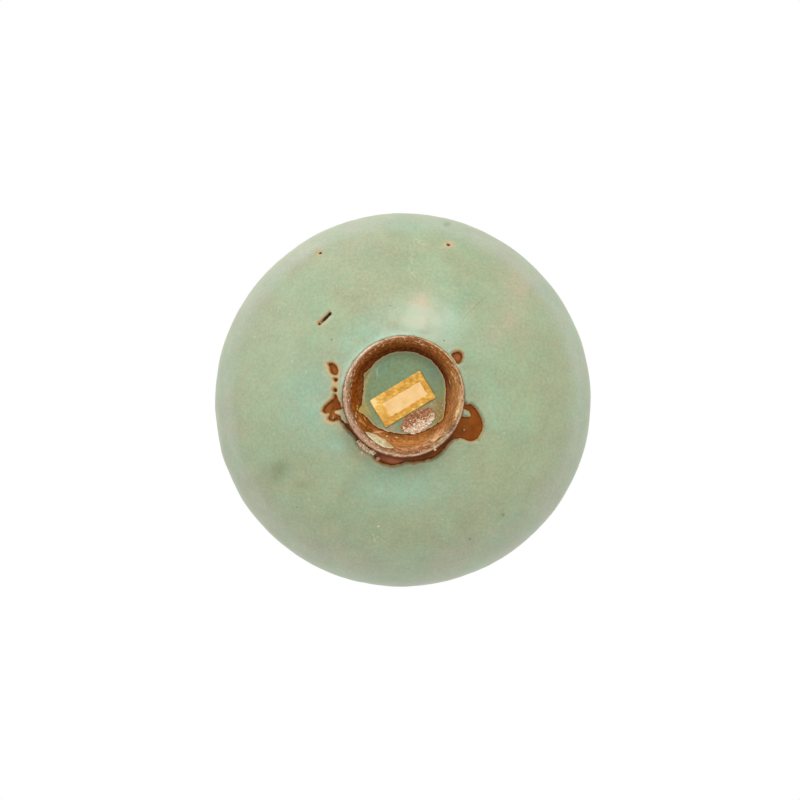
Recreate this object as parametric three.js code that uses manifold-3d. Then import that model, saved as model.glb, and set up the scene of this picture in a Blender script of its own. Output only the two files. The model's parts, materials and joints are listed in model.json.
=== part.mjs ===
// Small jun ware bowl, standing on its foot with its mouth up. Millimetres, +Z up.
// The origin is the centre of the foot's rest face, and the Z axis is the axis of the wheel.
// One body was thrown and turned; coats of wash and glaze lie over it, fused on in the kiln.
// Azimuths are in degrees from +X towards +Y.

import * as THREE from "three";
import { mergeVertices } from "three/addons/utils/BufferGeometryUtils.js";
import Module from "manifold-3d";

// Overall form
const BOWL_WIDTH = 120; // across the glazed belly
const BOWL_HEIGHT = 58; // from the rest face to the top of the lip
const BELLY_DROP = 12; // from the top of the lip down to where the wall is widest
const UNDERSIDE_HEIGHT = 6.2; // where the body's outer curve, carried on, would cross the axis
const LIP_LEAN = 1.6; // how far the wall leans in from belly to lip

// Thrown body
const BELLY_WALL = 3.4;
const LIP_WALL = 2.8;
const LIP_ROUND = 1.5; // height of the rounding over the lip
const FLOOR_HEIGHT = 11.3; // the body's floor inside, at the axis

// Foot ring
const FOOT_RADIUS = 18.8; // across the dressed outer wall, just above the rest face
const FOOT_FLARE = 0.2; // how much wider the wall is where it meets the underside
const FOOT_CHAMFER = 0.25; // wear along the outer edge of the rest face
const REST_INNER_RADIUS = 16.7;

// Well inside the foot ring, turned a little off the wheel's axis
const WELL_DEPTH = 6; // from the rest face to the glaze in the well
const WELL_FLOOR_RADIUS = 13.2;
const WELL_SHIFT_X = 0.55;
const WELL_SHIFT_Y = -1.2;

// Coats
const FUSED_GAP = 0.15; // between a coat and what it lies on
const OUTER_GLAZE_FOOT = 1.1; // thick near the foot, where it pooled
const OUTER_GLAZE_BELLY = 0.7;
const INNER_GLAZE_POOL = 1.6;
const INNER_GLAZE_BELLY = 0.7;
const LIP_GLAZE = 0.35; // the coat ran thin over the lip
const LIP_BAND = 3; // depth of that thin band below the lip's rounding
const WELL_GLAZE = 0.5;
const WASH = 0.2;
const WASH_STOP = 0.8; // the rest face and its edges are wiped clean to this height

// Hem of the outer glaze: azimuth, and how far it stands back from the foot's wall
const HEM_REACH = 0.25; // all along the side where the glaze ran up to the foot
const CRAWLED_HEM = [
  [6, 0.4],
  [7, 1.6],
  [9, 3.2],
  [13, 4.9],
  [19, 6.4],
  [24, 6.9],
  [29, 6.7],
  [33, 5.6],
  [35, 2.7],
  [38, 1.5],
  [44, 0.8],
  [50, 1.4],
  [57, 1.8],
  [70, 1.0],
  [88, 0.8],
  [95, 1.7],
  [102, 1.7],
  [112, 1.2],
  [127, 1.3],
  [138, 0.7],
  [148, 0.5],
  [157, 1.1],
  [161, 2.4],
  [164, 4.5],
  [169, 5.5],
  [172, 5.5],
  [175, 4.3],
  [178, 1.1],
  [180, 0.3],
];

// Bare spots and pits through the outer glaze: azimuth, how far out they lie as a share of the way
// from the foot's wall to the belly, half length, half width, and turn from the line to the axis
const BARE_SPOTS = [
  { azimuth: 324, out: 0.05, long: 1.5, wide: 1.4, turn: 0 },
  { azimuth: 201, out: 0.11, long: 2.6, wide: 1.0, turn: 34 },
  { azimuth: 194.5, out: 0.058, long: 0.5, wide: 0.45, turn: 0 },
  { azimuth: 186, out: 0.049, long: 0.5, wide: 0.5, turn: 0 },
  { azimuth: 225, out: 0.371, long: 2.7, wide: 0.5, turn: -93 },
  { azimuth: 286.3, out: 0.763, long: 0.6, wide: 0.5, turn: 0 },
  { azimuth: 240.4, out: 0.816, long: 0.6, wide: 0.5, turn: 0 },
];

// Splash of glaze on the foot's inner wall
const SPLASH_THICKNESS = 0.35;
const SPLASH_AZIMUTH = 119.7;
const SPLASH_INSET = 1.4; // from the inner edge of the rest face to its middle
const SPLASH_HALF_LENGTH = 5.2;
const SPLASH_HALF_WIDTH = 1.1;
const SPLASH_TURN = 90; // it lies along the wall

// Kiln grit: an oval scar in the well and a crust beside the foot
const SCAR_X = 4.2;
const SCAR_Y = 7.1;
const SCAR_HALF_LENGTH = 5.5;
const SCAR_HALF_WIDTH = 2.5;
const SCAR_HEIGHT = 0.8;
const SCAR_TURN = -27;
const CRUST_LUMPS = [
  [117, 0.75],
  [120, 0.95],
  [123, 1.05],
  [126, 0.9],
  [129, 1.1],
  [132, 0.95],
  [135, 0.75],
]; // azimuth and radius of each lump
const CRUST_DROP = 0.6; // from the underside down to the middle of the lumps
const CRUST_STAND_OFF = 0.5; // from the foot's dressed wall to the middle of the lumps

// Label stuck in the well
const LABEL_LENGTH = 17.9;
const LABEL_WIDTH = 9.5;
const LABEL_X = -0.25;
const LABEL_Y = 0.65;
const LABEL_TURN = -31;
const WORN_CORNER = 0.6;
const GUM_THICKNESS = 0.1;
const GUM_INSET = 0.3; // the gum stops short of the paper's edge
const PAPER_THICKNESS = 0.15;
const GILT_THICKNESS = 0.06;
const GILT_WIDTH = 2.2; // of the gilt frame round the bare panel
const GILT_INSET = 0.15;

// Fineness of the faceted surfaces
const TURNS = 64; // facets round the axis
const WALL_STEPS = 11; // facets up the outer curve of the wall
const INSIDE_STEPS = 9;
const LEAN_STEPS = 3; // facets from the belly up to the lip
const LIP_STEPS = 4;
const HEM_STEPS = 2; // between two points of the crawled hem
const HEM_ARC_STEPS = 28; // along the side where the hem follows the foot
const SPOT_STEPS = 12; // half way round a spot
const SCAR_STEPS = 4;
const LUMP_DETAIL = 1;
const MERGE_DISTANCE = 1e-4;

// Sizes that follow
const bellyHeight = BOWL_HEIGHT - BELLY_DROP;
const footWallRadius = FOOT_RADIUS - WASH - FUSED_GAP;
const wallTopRadius = footWallRadius + FOOT_FLARE;
const dressedRadius = wallTopRadius + FUSED_GAP + WASH;
const bodyRadius = BOWL_WIDTH / 2 - OUTER_GLAZE_BELLY - FUSED_GAP;
const bodyTop = BOWL_HEIGHT - LIP_GLAZE - FUSED_GAP;
const lipStart = bodyTop - LIP_ROUND;
const bandHeight = lipStart - LIP_BAND;
const insideRadius = bodyRadius - BELLY_WALL;
const insideLean = LIP_LEAN + LIP_WALL - BELLY_WALL;
const wellCeiling = WELL_DEPTH + WELL_GLAZE;
const paperTop = WELL_DEPTH - GUM_THICKNESS;
const giltTop = paperTop - PAPER_THICKNESS;
const bowlUnder = { radius: bodyRadius, lean: LIP_LEAN, crossing: UNDERSIDE_HEIGHT };
const bowlInside = { radius: insideRadius, lean: insideLean, crossing: FLOOR_HEIGHT };
const footTop = ellipseHeight(bowlUnder, Math.asin(wallTopRadius / bodyRadius));

// Finishes
const STONEWARE = { color: "#b79470", roughness: 0.85 };
const IRON_WASH = { color: "#7d4417", roughness: 0.55 };
const OUTER_GLAZE = { color: "#a8b694", roughness: 0.3 };
const THIN_GLAZE = { color: "#9a8a62", roughness: 0.3 };
const INNER_GLAZE = { color: "#a3b59b", roughness: 0.25 };
const WELL_GREEN = { color: "#80917a", roughness: 0.35 };
const PALE_GLAZE = { color: "#b7ba8c", roughness: 0.35 };
const KILN_GRIT = { color: "#c29c7a", roughness: 0.95 };
const GUM = { color: "#8a6a35", roughness: 0.6 };
const CREAM_PAPER = { color: "#ecc795", roughness: 0.9 };
const GILT = { color: "#d9a13e", roughness: 0.45, metalness: 0.6 };

const wasm = await Module();
wasm.setup();

const bowl = new THREE.Group();

// A named piece with its own finish.
function addPiece(name, geometry, finish) {
  const mesh = new THREE.Mesh(geometry, new THREE.MeshStandardMaterial(finish));
  mesh.name = name;
  bowl.add(mesh);
}

// A closed mesh with shared vertices and no collapsed triangles, as a solid to cut and join.
function solidFrom(geometry) {
  const bare = geometry.clone();
  bare.deleteAttribute("normal");
  bare.deleteAttribute("uv");
  const merged = mergeVertices(bare, MERGE_DISTANCE);
  const corners = merged.index.array;
  const kept = [];
  for (let i = 0; i < corners.length; i += 3) {
    const [a, b, c] = [corners[i], corners[i + 1], corners[i + 2]];
    if (a !== b && b !== c && c !== a) kept.push(a, b, c);
  }
  const vertProperties = merged.attributes.position.array;
  const mesh = { numProp: 3, vertProperties, triVerts: new Uint32Array(kept) };
  return new wasm.Manifold(new wasm.Mesh(mesh));
}

function geometryFrom(solid) {
  const mesh = solid.getMesh();
  const geometry = new THREE.BufferGeometry();
  geometry.setAttribute("position", new THREE.BufferAttribute(mesh.vertProperties, mesh.numProp));
  geometry.setIndex(new THREE.BufferAttribute(mesh.triVerts, 1));
  geometry.computeVertexNormals();
  return geometry;
}

// A profile of [radius, height] turned about the axis of the wheel.
function turned(profile) {
  const points = profile.map(([radius, height]) => new THREE.Vector2(radius, height));
  return new THREE.LatheGeometry(points, TURNS).rotateX(Math.PI / 2);
}

// Height on the lower, elliptical part of the wall, at an angle counted from the axis.
function ellipseHeight({ crossing }, angle) {
  return bellyHeight - (bellyHeight - crossing) * Math.cos(angle);
}

// Radius on the upper part of the wall, which leans in as a parabola.
function leaningRadius({ radius, lean }, height) {
  const share = (height - bellyHeight) / (lipStart - bellyHeight);
  return radius - lean * share * share;
}

// The wall's curve from a radius near the foot or the axis, round the belly and up to a height.
function wallCurve(form, startRadius, top, steps) {
  const from = Math.asin(startRadius / form.radius);
  const points = [];
  for (let i = 0; i < steps; i++) {
    const angle = from + ((Math.PI / 2 - from) * i) / steps;
    points.push([form.radius * Math.sin(angle), ellipseHeight(form, angle)]);
  }
  for (let i = 0; i <= LEAN_STEPS; i++) {
    const height = bellyHeight + ((top - bellyHeight) * i) / LEAN_STEPS;
    points.push([leaningRadius(form, height), height]);
  }
  return points;
}

// The stretch of wall that the lip's thin glaze covers, from its lower edge up.
function bandCurve(form) {
  return [bandHeight + FUSED_GAP, (bandHeight + lipStart) / 2, lipStart].map((height) => [
    leaningRadius(form, height),
    height,
  ]);
}

// Moves a curve sideways by a distance worked out at each point: +1 to its right, -1 to its left.
function offsetCurve(curve, side, distanceAt) {
  return curve.map(([radius, height], i) => {
    const [r0, h0] = curve[Math.max(i - 1, 0)];
    const [r1, h1] = curve[Math.min(i + 1, curve.length - 1)];
    const length = Math.hypot(r1 - r0, h1 - h0);
    const distance = (side * distanceAt(height)) / length;
    const moved = radius + (h1 - h0) * distance;
    return [radius === 0 ? 0 : moved, height - (r1 - r0) * distance];
  });
}

// A coat over a curve, as a closed profile.
function coatProfile(curve, side, thicknessAt) {
  const near = offsetCurve(curve, side, () => FUSED_GAP);
  const far = offsetCurve(curve, side, (height) => FUSED_GAP + thicknessAt(height));
  if (side > 0) return [...far, ...near.reverse(), far[0]];
  return [...near, ...far.reverse()];
}

function between(from, to, share) {
  const held = Math.min(Math.max(share, 0), 1);
  return from + (to - from) * held;
}

// Outer glaze: thick at the foot, thinner at the belly, thinnest where it meets the lip's band.
function outerGlazeAt(height) {
  if (height < bellyHeight) {
    const share = (height - UNDERSIDE_HEIGHT) / (bellyHeight - UNDERSIDE_HEIGHT);
    return between(OUTER_GLAZE_FOOT, OUTER_GLAZE_BELLY, share);
  }
  return between(OUTER_GLAZE_BELLY, LIP_GLAZE, (height - bellyHeight) / (bandHeight - bellyHeight));
}

function innerGlazeAt(height) {
  if (height < bellyHeight) {
    const share = (height - FLOOR_HEIGHT) / (bellyHeight - FLOOR_HEIGHT);
    return between(INNER_GLAZE_POOL, INNER_GLAZE_BELLY, share);
  }
  return between(INNER_GLAZE_BELLY, LIP_GLAZE, (height - bellyHeight) / (bandHeight - bellyHeight));
}

// The rounding over the lip, from the outer wall to the inner one.
function lipCurve() {
  const outer = bodyRadius - LIP_LEAN;
  const half = LIP_WALL / 2;
  const points = [];
  for (let i = 1; i < LIP_STEPS; i++) {
    const angle = (Math.PI * i) / LIP_STEPS;
    points.push([outer - half + half * Math.cos(angle), lipStart + LIP_ROUND * Math.sin(angle)]);
  }
  return points;
}

// Leans a piece of the well over, so that its centre moves off the axis as it goes up.
function leanIntoWell(geometry) {
  const lean = new THREE.Matrix4();
  lean.makeShear(0, 0, 0, 0, WELL_SHIFT_X / WELL_DEPTH, WELL_SHIFT_Y / WELL_DEPTH);
  return geometry.applyMatrix4(lean);
}

function wellRadiusAt(height) {
  return REST_INNER_RADIUS + ((WELL_FLOOR_RADIUS - REST_INNER_RADIUS) * height) / WELL_DEPTH;
}

// A prism along Z with the given outline, from the rest face up to the belly.
function cutter(shape, steps) {
  const prism = new THREE.ExtrudeGeometry(shape, {
    depth: bellyHeight,
    bevelEnabled: false,
    curveSegments: steps,
  });
  return solidFrom(prism);
}

// An ellipse at an azimuth and radius, its long axis turned from the line that runs to the axis.
function ellipse(halfLength, halfWidth, azimuth, radius, turn) {
  const angle = THREE.MathUtils.degToRad(azimuth);
  const slant = THREE.MathUtils.degToRad(azimuth + turn);
  const [x, y] = [radius * Math.cos(angle), radius * Math.sin(angle)];
  const shape = new THREE.Shape();
  shape.absellipse(x, y, halfLength, halfWidth, 0, 2 * Math.PI, false, slant);
  return shape;
}

// The foot's bare surround: a circle round its wall, with the crawled stretches standing back.
function hemShape(overlap) {
  const at = (azimuth, reach) => {
    const radius = dressedRadius + reach - overlap;
    const angle = THREE.MathUtils.degToRad(azimuth);
    return new THREE.Vector2(radius * Math.cos(angle), radius * Math.sin(angle));
  };
  const crawled = CRAWLED_HEM.map(([azimuth, reach]) => at(azimuth, reach));
  const shape = new THREE.Shape();
  shape.moveTo(crawled[0].x, crawled[0].y);
  shape.splineThru(crawled.slice(1));
  const [lastAzimuth] = CRAWLED_HEM[CRAWLED_HEM.length - 1];
  const [firstAzimuth] = CRAWLED_HEM[0];
  const sweep = firstAzimuth + 360 - lastAzimuth;
  for (let i = 1; i < HEM_ARC_STEPS; i++) {
    const { x, y } = at(lastAzimuth + (sweep * i) / HEM_ARC_STEPS, HEM_REACH);
    shape.lineTo(x, y);
  }
  shape.closePath();
  return shape;
}

// Thrown body
function makeBody() {
  const outer = wallCurve(bowlUnder, wallTopRadius, lipStart, WALL_STEPS);
  const inner = wallCurve(bowlInside, 0, lipStart, INSIDE_STEPS).reverse();
  const foot = [
    [0, 0],
    [footWallRadius - FOOT_CHAMFER, 0],
    [footWallRadius, FOOT_CHAMFER],
  ];
  const whole = solidFrom(turned([...foot, ...outer, ...lipCurve(), ...inner]));
  const below = -WELL_DEPTH;
  const well = turned([
    [0, below],
    [wellRadiusAt(below), below],
    [wellRadiusAt(wellCeiling), wellCeiling],
    [0, wellCeiling],
  ]);
  return whole.subtract(solidFrom(leanIntoWell(well)));
}

// Brown dressing on both walls of the foot
function outerWash() {
  const rise = footTop - FOOT_CHAMFER;
  const radiusAt = (height) => footWallRadius + (FOOT_FLARE * (height - FOOT_CHAMFER)) / rise;
  const top = footTop - FUSED_GAP;
  const wall = [WASH_STOP, top].map((height) => [radiusAt(height), height]);
  return turned(coatProfile(wall, 1, () => WASH));
}

function innerWash() {
  const top = WELL_DEPTH - FUSED_GAP;
  const profile = [
    [wellRadiusAt(WASH_STOP) - FUSED_GAP, WASH_STOP],
    [wellRadiusAt(top) - FUSED_GAP, top],
    [wellRadiusAt(top) - FUSED_GAP - WASH, top],
    [wellRadiusAt(WASH_STOP) - FUSED_GAP - WASH, WASH_STOP],
    [wellRadiusAt(WASH_STOP) - FUSED_GAP, WASH_STOP],
  ];
  return leanIntoWell(turned(profile));
}

// Outer glaze inside its crawled hem. Growth thickens it all round, to keep something else clear of it.
function hemmedGlaze(growth = 0) {
  const curve = wallCurve(bowlUnder, dressedRadius, bandHeight, WALL_STEPS);
  const thicknessAt = (height) => outerGlazeAt(height) + growth;
  return solidFrom(turned(coatProfile(curve, 1, thicknessAt))).subtract(cutter(hemShape(growth), HEM_STEPS));
}

function outerGlaze() {
  let glaze = hemmedGlaze();
  for (const { azimuth, out, long, wide, turn } of BARE_SPOTS) {
    const radius = between(dressedRadius, BOWL_WIDTH / 2, out);
    glaze = glaze.subtract(cutter(ellipse(long, wide, azimuth, radius, turn), SPOT_STEPS));
  }
  return glaze;
}

// Lip glaze and inner glaze
function lipGlaze() {
  const curve = [...bandCurve(bowlUnder), ...lipCurve(), ...bandCurve(bowlInside).reverse()];
  return turned(coatProfile(curve, 1, () => LIP_GLAZE));
}

function innerGlaze() {
  const curve = wallCurve(bowlInside, 0, bandHeight, INSIDE_STEPS);
  return turned(coatProfile(curve, -1, innerGlazeAt));
}

// Glaze in the well, its edge rounded where it drew back from the wall
function wellGlaze() {
  const half = WELL_GLAZE / 2;
  const edgeAt = (height) => wellRadiusAt(height) - FUSED_GAP;
  const profile = [
    [0, WELL_DEPTH],
    [edgeAt(WELL_DEPTH) - half, WELL_DEPTH],
    [edgeAt(WELL_DEPTH + half), WELL_DEPTH + half],
    [edgeAt(wellCeiling), wellCeiling],
    [0, wellCeiling],
  ];
  return leanIntoWell(turned(profile));
}

function glazeSplash() {
  const away = FUSED_GAP + WASH + FUSED_GAP;
  const [low, high] = [0, WELL_DEPTH];
  const profile = [
    [wellRadiusAt(low) - away, low],
    [wellRadiusAt(high) - away, high],
    [wellRadiusAt(high) - away - SPLASH_THICKNESS, high],
    [wellRadiusAt(low) - away - SPLASH_THICKNESS, low],
    [wellRadiusAt(low) - away, low],
  ];
  const coat = solidFrom(leanIntoWell(turned(profile)));
  const radius = REST_INNER_RADIUS - SPLASH_INSET;
  const outline = ellipse(SPLASH_HALF_LENGTH, SPLASH_HALF_WIDTH, SPLASH_AZIMUTH, radius, SPLASH_TURN);
  return coat.intersect(cutter(outline, SPOT_STEPS));
}

// Kiln grit
function gritScar() {
  const profile = [];
  for (let i = 0; i <= SCAR_STEPS; i++) {
    const angle = (Math.PI / 2) * (i / SCAR_STEPS);
    profile.push([SCAR_HALF_LENGTH * Math.sin(angle), -SCAR_HEIGHT * Math.cos(angle)]);
  }
  profile.push([0, 0]);
  return turned(profile)
    .scale(1, SCAR_HALF_WIDTH / SCAR_HALF_LENGTH, 1)
    .rotateZ(THREE.MathUtils.degToRad(SCAR_TURN))
    .translate(SCAR_X, SCAR_Y, WELL_DEPTH);
}

function gritCrust() {
  const radius = dressedRadius + CRUST_STAND_OFF;
  let crust;
  for (const [azimuth, size] of CRUST_LUMPS) {
    const angle = THREE.MathUtils.degToRad(azimuth);
    const lump = new THREE.IcosahedronGeometry(size, LUMP_DETAIL);
    lump.translate(radius * Math.cos(angle), radius * Math.sin(angle), footTop - CRUST_DROP);
    const solid = solidFrom(lump);
    crust = crust ? crust.add(solid) : solid;
  }
  const body = wallCurve(bowlUnder, wallTopRadius, lipStart, WALL_STEPS);
  const cleared = offsetCurve(body, 1, () => FUSED_GAP);
  const wall = dressedRadius + FUSED_GAP;
  const keepOut = [[0, 0], [wall, 0], [wall, cleared[0][1]], ...cleared.slice(1), [0, lipStart]];
  return crust.subtract(solidFrom(turned(keepOut))).subtract(hemmedGlaze(FUSED_GAP));
}

// Label, in three layers, each lying on the one before
function labelSheet(inset) {
  const x = LABEL_LENGTH / 2 - inset;
  const y = LABEL_WIDTH / 2 - inset;
  const shape = new THREE.Shape();
  shape.moveTo(-x + WORN_CORNER, -y);
  shape.lineTo(x, -y);
  shape.lineTo(x, y);
  shape.lineTo(-x, y);
  shape.lineTo(-x, -y + WORN_CORNER);
  shape.closePath();
  return shape;
}

function layOnLabel(shape, thickness, top) {
  return new THREE.ExtrudeGeometry(shape, { depth: thickness, bevelEnabled: false })
    .rotateZ(THREE.MathUtils.degToRad(LABEL_TURN))
    .translate(LABEL_X, LABEL_Y, top - thickness);
}

function giltBorder(top) {
  const frame = labelSheet(GILT_INSET);
  frame.holes.push(labelSheet(GILT_INSET + GILT_WIDTH));
  return layOnLabel(frame, GILT_THICKNESS, top);
}

addPiece("thrown_body", geometryFrom(makeBody()), STONEWARE);
addPiece("foot_wash_outer", outerWash(), IRON_WASH);
addPiece("foot_wash_inner", innerWash(), IRON_WASH);
addPiece("outer_glaze", geometryFrom(outerGlaze()), OUTER_GLAZE);
addPiece("lip_glaze", lipGlaze(), THIN_GLAZE);
addPiece("inner_glaze", innerGlaze(), INNER_GLAZE);
addPiece("foot_well_glaze", wellGlaze(), WELL_GREEN);
addPiece("foot_glaze_splash", geometryFrom(glazeSplash()), PALE_GLAZE);
addPiece("kiln_grit_scar", gritScar(), KILN_GRIT);
addPiece("kiln_grit_crumbs", geometryFrom(gritCrust()), KILN_GRIT);
addPiece("label_gum", layOnLabel(labelSheet(GUM_INSET), GUM_THICKNESS, WELL_DEPTH), GUM);
addPiece("label_paper", layOnLabel(labelSheet(0), PAPER_THICKNESS, paperTop), CREAM_PAPER);
addPiece("label_gilt_border", giltBorder(giltTop), GILT);

export default bowl;
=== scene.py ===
# %% [markdown]
# # A small jun ware bowl, seen from beneath
#
# The real bowl was thrown on a wheel, turned, washed with iron round its foot and dipped in a thick
# opalescent glaze. In the kiln the glaze crawled back from the foot here and there and left bare,
# glossy brown clay. Each coat is a surface of its own, so this lesson makes each one from a formula.
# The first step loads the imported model, which stays the measure of every size.

# %% Load the frame
import json

import bpy
import numpy as np
from mathutils import Matrix, Vector

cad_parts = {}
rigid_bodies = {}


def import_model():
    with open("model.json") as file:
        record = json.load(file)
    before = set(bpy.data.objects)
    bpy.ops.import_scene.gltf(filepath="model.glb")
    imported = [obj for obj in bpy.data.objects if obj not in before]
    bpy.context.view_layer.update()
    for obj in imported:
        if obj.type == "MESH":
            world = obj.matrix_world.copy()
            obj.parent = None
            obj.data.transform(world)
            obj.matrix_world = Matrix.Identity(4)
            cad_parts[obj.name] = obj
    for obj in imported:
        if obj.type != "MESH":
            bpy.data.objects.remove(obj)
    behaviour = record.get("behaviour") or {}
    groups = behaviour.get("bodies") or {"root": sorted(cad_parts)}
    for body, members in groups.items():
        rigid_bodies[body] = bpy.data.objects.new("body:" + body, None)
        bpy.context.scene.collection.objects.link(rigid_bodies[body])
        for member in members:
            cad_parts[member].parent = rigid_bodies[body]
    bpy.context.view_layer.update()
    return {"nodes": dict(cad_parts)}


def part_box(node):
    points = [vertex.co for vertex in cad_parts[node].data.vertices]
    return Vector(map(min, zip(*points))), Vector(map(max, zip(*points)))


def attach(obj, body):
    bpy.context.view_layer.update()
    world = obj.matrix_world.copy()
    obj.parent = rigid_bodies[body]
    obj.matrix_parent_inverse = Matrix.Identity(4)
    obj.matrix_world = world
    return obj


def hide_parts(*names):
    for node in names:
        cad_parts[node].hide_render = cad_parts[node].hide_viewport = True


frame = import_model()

print("frame nodes:", sorted(frame["nodes"]))

# %% [markdown]
# ## Sizes
#
# All sizes are in millimetres. The overall ones are read from the frame; the others are the
# potter's choices that the frame's boxes can't tell, such as how thick a wall is. The bowl is a few
# tenths of a millimetre out of round, as wheel-thrown bowls are.

# %% Sizes in millimetres
MM = 0.001


def span(node):
    """Lowest and highest corner of a frame node, in millimetres."""
    low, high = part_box(node)
    return np.array(low) / MM, np.array(high) / MM


GLAZE_RADIUS = span("outer_glaze")[1][0]
BODY_RADIUS = span("thrown_body")[1][0]
BODY_TOP = span("thrown_body")[1][2]
BOWL_TOP = span("lip_glaze")[1][2]
WELL_DEPTH = span("foot_well_glaze")[0][2]
WELL_CEILING = span("foot_well_glaze")[1][2]
FOOT_OUTSIDE = span("foot_wash_outer")[1][0]  # the dressed wall, where it meets the underside

BELLY = BOWL_TOP - 12  # height at which the wall is widest
BAND = 53.0  # height where the thin glaze of the lip begins
LIP_START = 56.0  # height where the lip begins to round over
LIP_WALL = 2.8  # thickness of the clay at the lip
BELLY_WALL = 3.4  # and at the belly
UNDERSIDE = 6.2  # where the outer curve, carried on, would cross the axis
FLOOR_INSIDE = 11.3  # height of the clay in the middle of the bowl
LIP_LEAN = 1.6  # how far the wall leans in from the belly to the lip
OUTER_WALL = (BODY_RADIUS, UNDERSIDE, LIP_LEAN)  # radius, crossing height and lean
INNER_WALL = (BODY_RADIUS - BELLY_WALL, FLOOR_INSIDE, LIP_LEAN + LIP_WALL - BELLY_WALL)

FOOT_WALL = 18.55  # radius of the clay at the rest face
FOOT_WALL_TOP = 18.65  # and where the foot meets the underside
REST_INNER = 16.7  # inner radius of the rest face
WELL_FLOOR = 13.2  # radius of the well's floor
WELL_SHIFT = np.array([0.55, -1.2])  # how far the well's floor lies off the axis

print(f"bowl {2 * GLAZE_RADIUS:.1f} mm wide, {BOWL_TOP:.1f} mm high, foot {2 * FOOT_WALL:.1f} mm")

# %% [markdown]
# ## Camera
#
# The photograph looks straight up at the foot from about a metre away through a long lens, a hair
# off the axis. The axis of the bowl has a direction in the camera's own right, down and forward
# terms; turning that direction onto +Z gives the camera's place in the bowl's frame.

# %% Camera beneath the bowl
PICTURE = 800  # pixels a side
FOCAL = 3278  # focal length in pixels
AXIS_SEEN = Vector((-19.5, 78.2, 3265)).normalized()  # the bowl's axis: right, down, forward
FOOT_SEEN = Vector((1.133, -1.072, 1000)) * MM  # the centre of the foot, in the same terms
SENSOR = 36  # width in millimetres


def new_object(name, data):
    """A named object with its data, in the scene."""
    made = bpy.data.objects.new(name, data)
    bpy.context.scene.collection.objects.link(made)
    return made


turn = AXIS_SEEN.rotation_difference(Vector((0, 0, 1))).to_matrix()
right, down, forward = (turn @ Vector(axis) for axis in ((1, 0, 0), (0, 1, 0), (0, 0, 1)))
camera = new_object("camera", bpy.data.cameras.new("camera"))
camera.data.sensor_width = SENSOR
camera.data.lens = SENSOR * FOCAL / PICTURE
camera.matrix_world = Matrix.LocRotScale(
    -(turn @ FOOT_SEEN), Matrix((right, -down, -forward)).transposed(), None
)
bpy.context.scene.camera = camera
bpy.context.scene.view_settings.view_transform = "Standard"
print(f"lens {camera.data.lens:.1f} mm, camera at", [round(c, 3) for c in camera.location])

# %% [markdown]
# ## From numbers to meshes
#
# A turned pot is a grid: rows run along its profile and columns run round the axis. One function
# turns any such grid into a closed mesh, whether its ends meet in two poles, as on the clay body,
# or its last row joins its first, as on a coat of glaze. It checks the volume's sign, so that the
# faces always point outwards.


# %% A grid of points becomes a closed mesh
def grid_faces(rows, columns, wrap):
    """Corner numbers of a grid that closes round its columns, and along its rows if wrap is set;
    otherwise two poles, numbered after the grid, close its ends."""
    here = np.arange(rows * columns).reshape(rows, columns)
    beside = np.roll(here, -1, axis=1)
    last = rows if wrap else rows - 1
    above = np.roll(here, -1, axis=0)[:last]
    above_beside = np.roll(beside, -1, axis=0)[:last]
    quads = np.stack([here[:last], beside[:last], above_beside, above], -1).reshape(-1, 4)
    if wrap:
        return quads, np.empty((0, 3), int)
    first_pole = np.full(columns, rows * columns)
    fans = [
        np.stack([first_pole, beside[0], here[0]], -1),
        np.stack([first_pole + 1, here[-1], beside[-1]], -1),
    ]
    return quads, np.concatenate(fans)


def volume_of(points, quads, triangles):
    """Signed volume: a sixth of the triple product of each triangle's corners, summed."""
    split = [triangles, quads[:, [0, 1, 2]], quads[:, [0, 2, 3]]]
    a, b, c = (points[np.concatenate(split)[:, i]] for i in range(3))
    return np.einsum("ij,ij->", a, np.cross(b, c)) / 6


SHARP = np.radians(42)  # edges bent more than this stay crisp
ATTRIBUTE_KINDS = {1: ("FLOAT", "value"), 3: ("FLOAT_VECTOR", "vector"), 4: ("FLOAT_COLOR", "color")}


def add_piece(name, points, quads, triangles, attributes, node_names, slot):
    """A named mesh in metres, facing out, that rides on the bowl and stands for frame nodes."""
    volume = volume_of(points, quads, triangles)
    if volume < 0:
        quads, triangles = quads[:, ::-1], triangles[:, ::-1]
    mesh = bpy.data.meshes.new(name)
    mesh.from_pydata((points * MM).tolist(), [], quads.tolist() + triangles.tolist())
    mesh.polygons.foreach_set("use_smooth", np.ones(len(mesh.polygons), bool))
    mesh.set_sharp_from_angle(angle=SHARP)
    for label, values in attributes.items():
        values = np.asarray(values, np.float32)
        kind, field = ATTRIBUTE_KINDS[values.shape[1] if values.ndim == 2 else 1]
        mesh.attributes.new(label, kind, "POINT").data.foreach_set(field, values.ravel())
    piece = new_object(name, mesh)
    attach(piece, "root")
    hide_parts(*node_names)
    triangle_count = 2 * len(quads) + len(triangles)
    print(f"{name}: {triangle_count} triangles, {abs(volume) / 1000:.3f} ml")
    return piece


def grid_piece(name, grid, slot, attributes=None, poles=None, nodes=None):
    """A piece from points [row, column, xyz], closed by two poles or, without them, by wrapping."""
    rows, columns, _ = grid.shape
    quads, triangles = grid_faces(rows, columns, poles is None)
    points = grid.reshape(-1, 3)
    values = {label: np.reshape(v, (rows * columns, -1)) for label, v in (attributes or {}).items()}
    if poles is not None:
        points = np.concatenate([points, np.asarray(poles, float)])
        ends = {label: np.stack([v[0], v[-1]]) for label, v in values.items()}
        values = {label: np.concatenate([v, ends[label]]) for label, v in values.items()}
    values = {label: v[:, 0] if v.shape[1] == 1 else v for label, v in values.items()}
    return add_piece(name, points, quads, triangles, values, nodes or [name], slot)


# %% [markdown]
# ## Chance, without chance
#
# Clay and glaze are never even. A sum of sine waves of about one length, running in directions that
# a seeded generator picks, gives smooth unevenness that comes out the same on every run.


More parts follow.
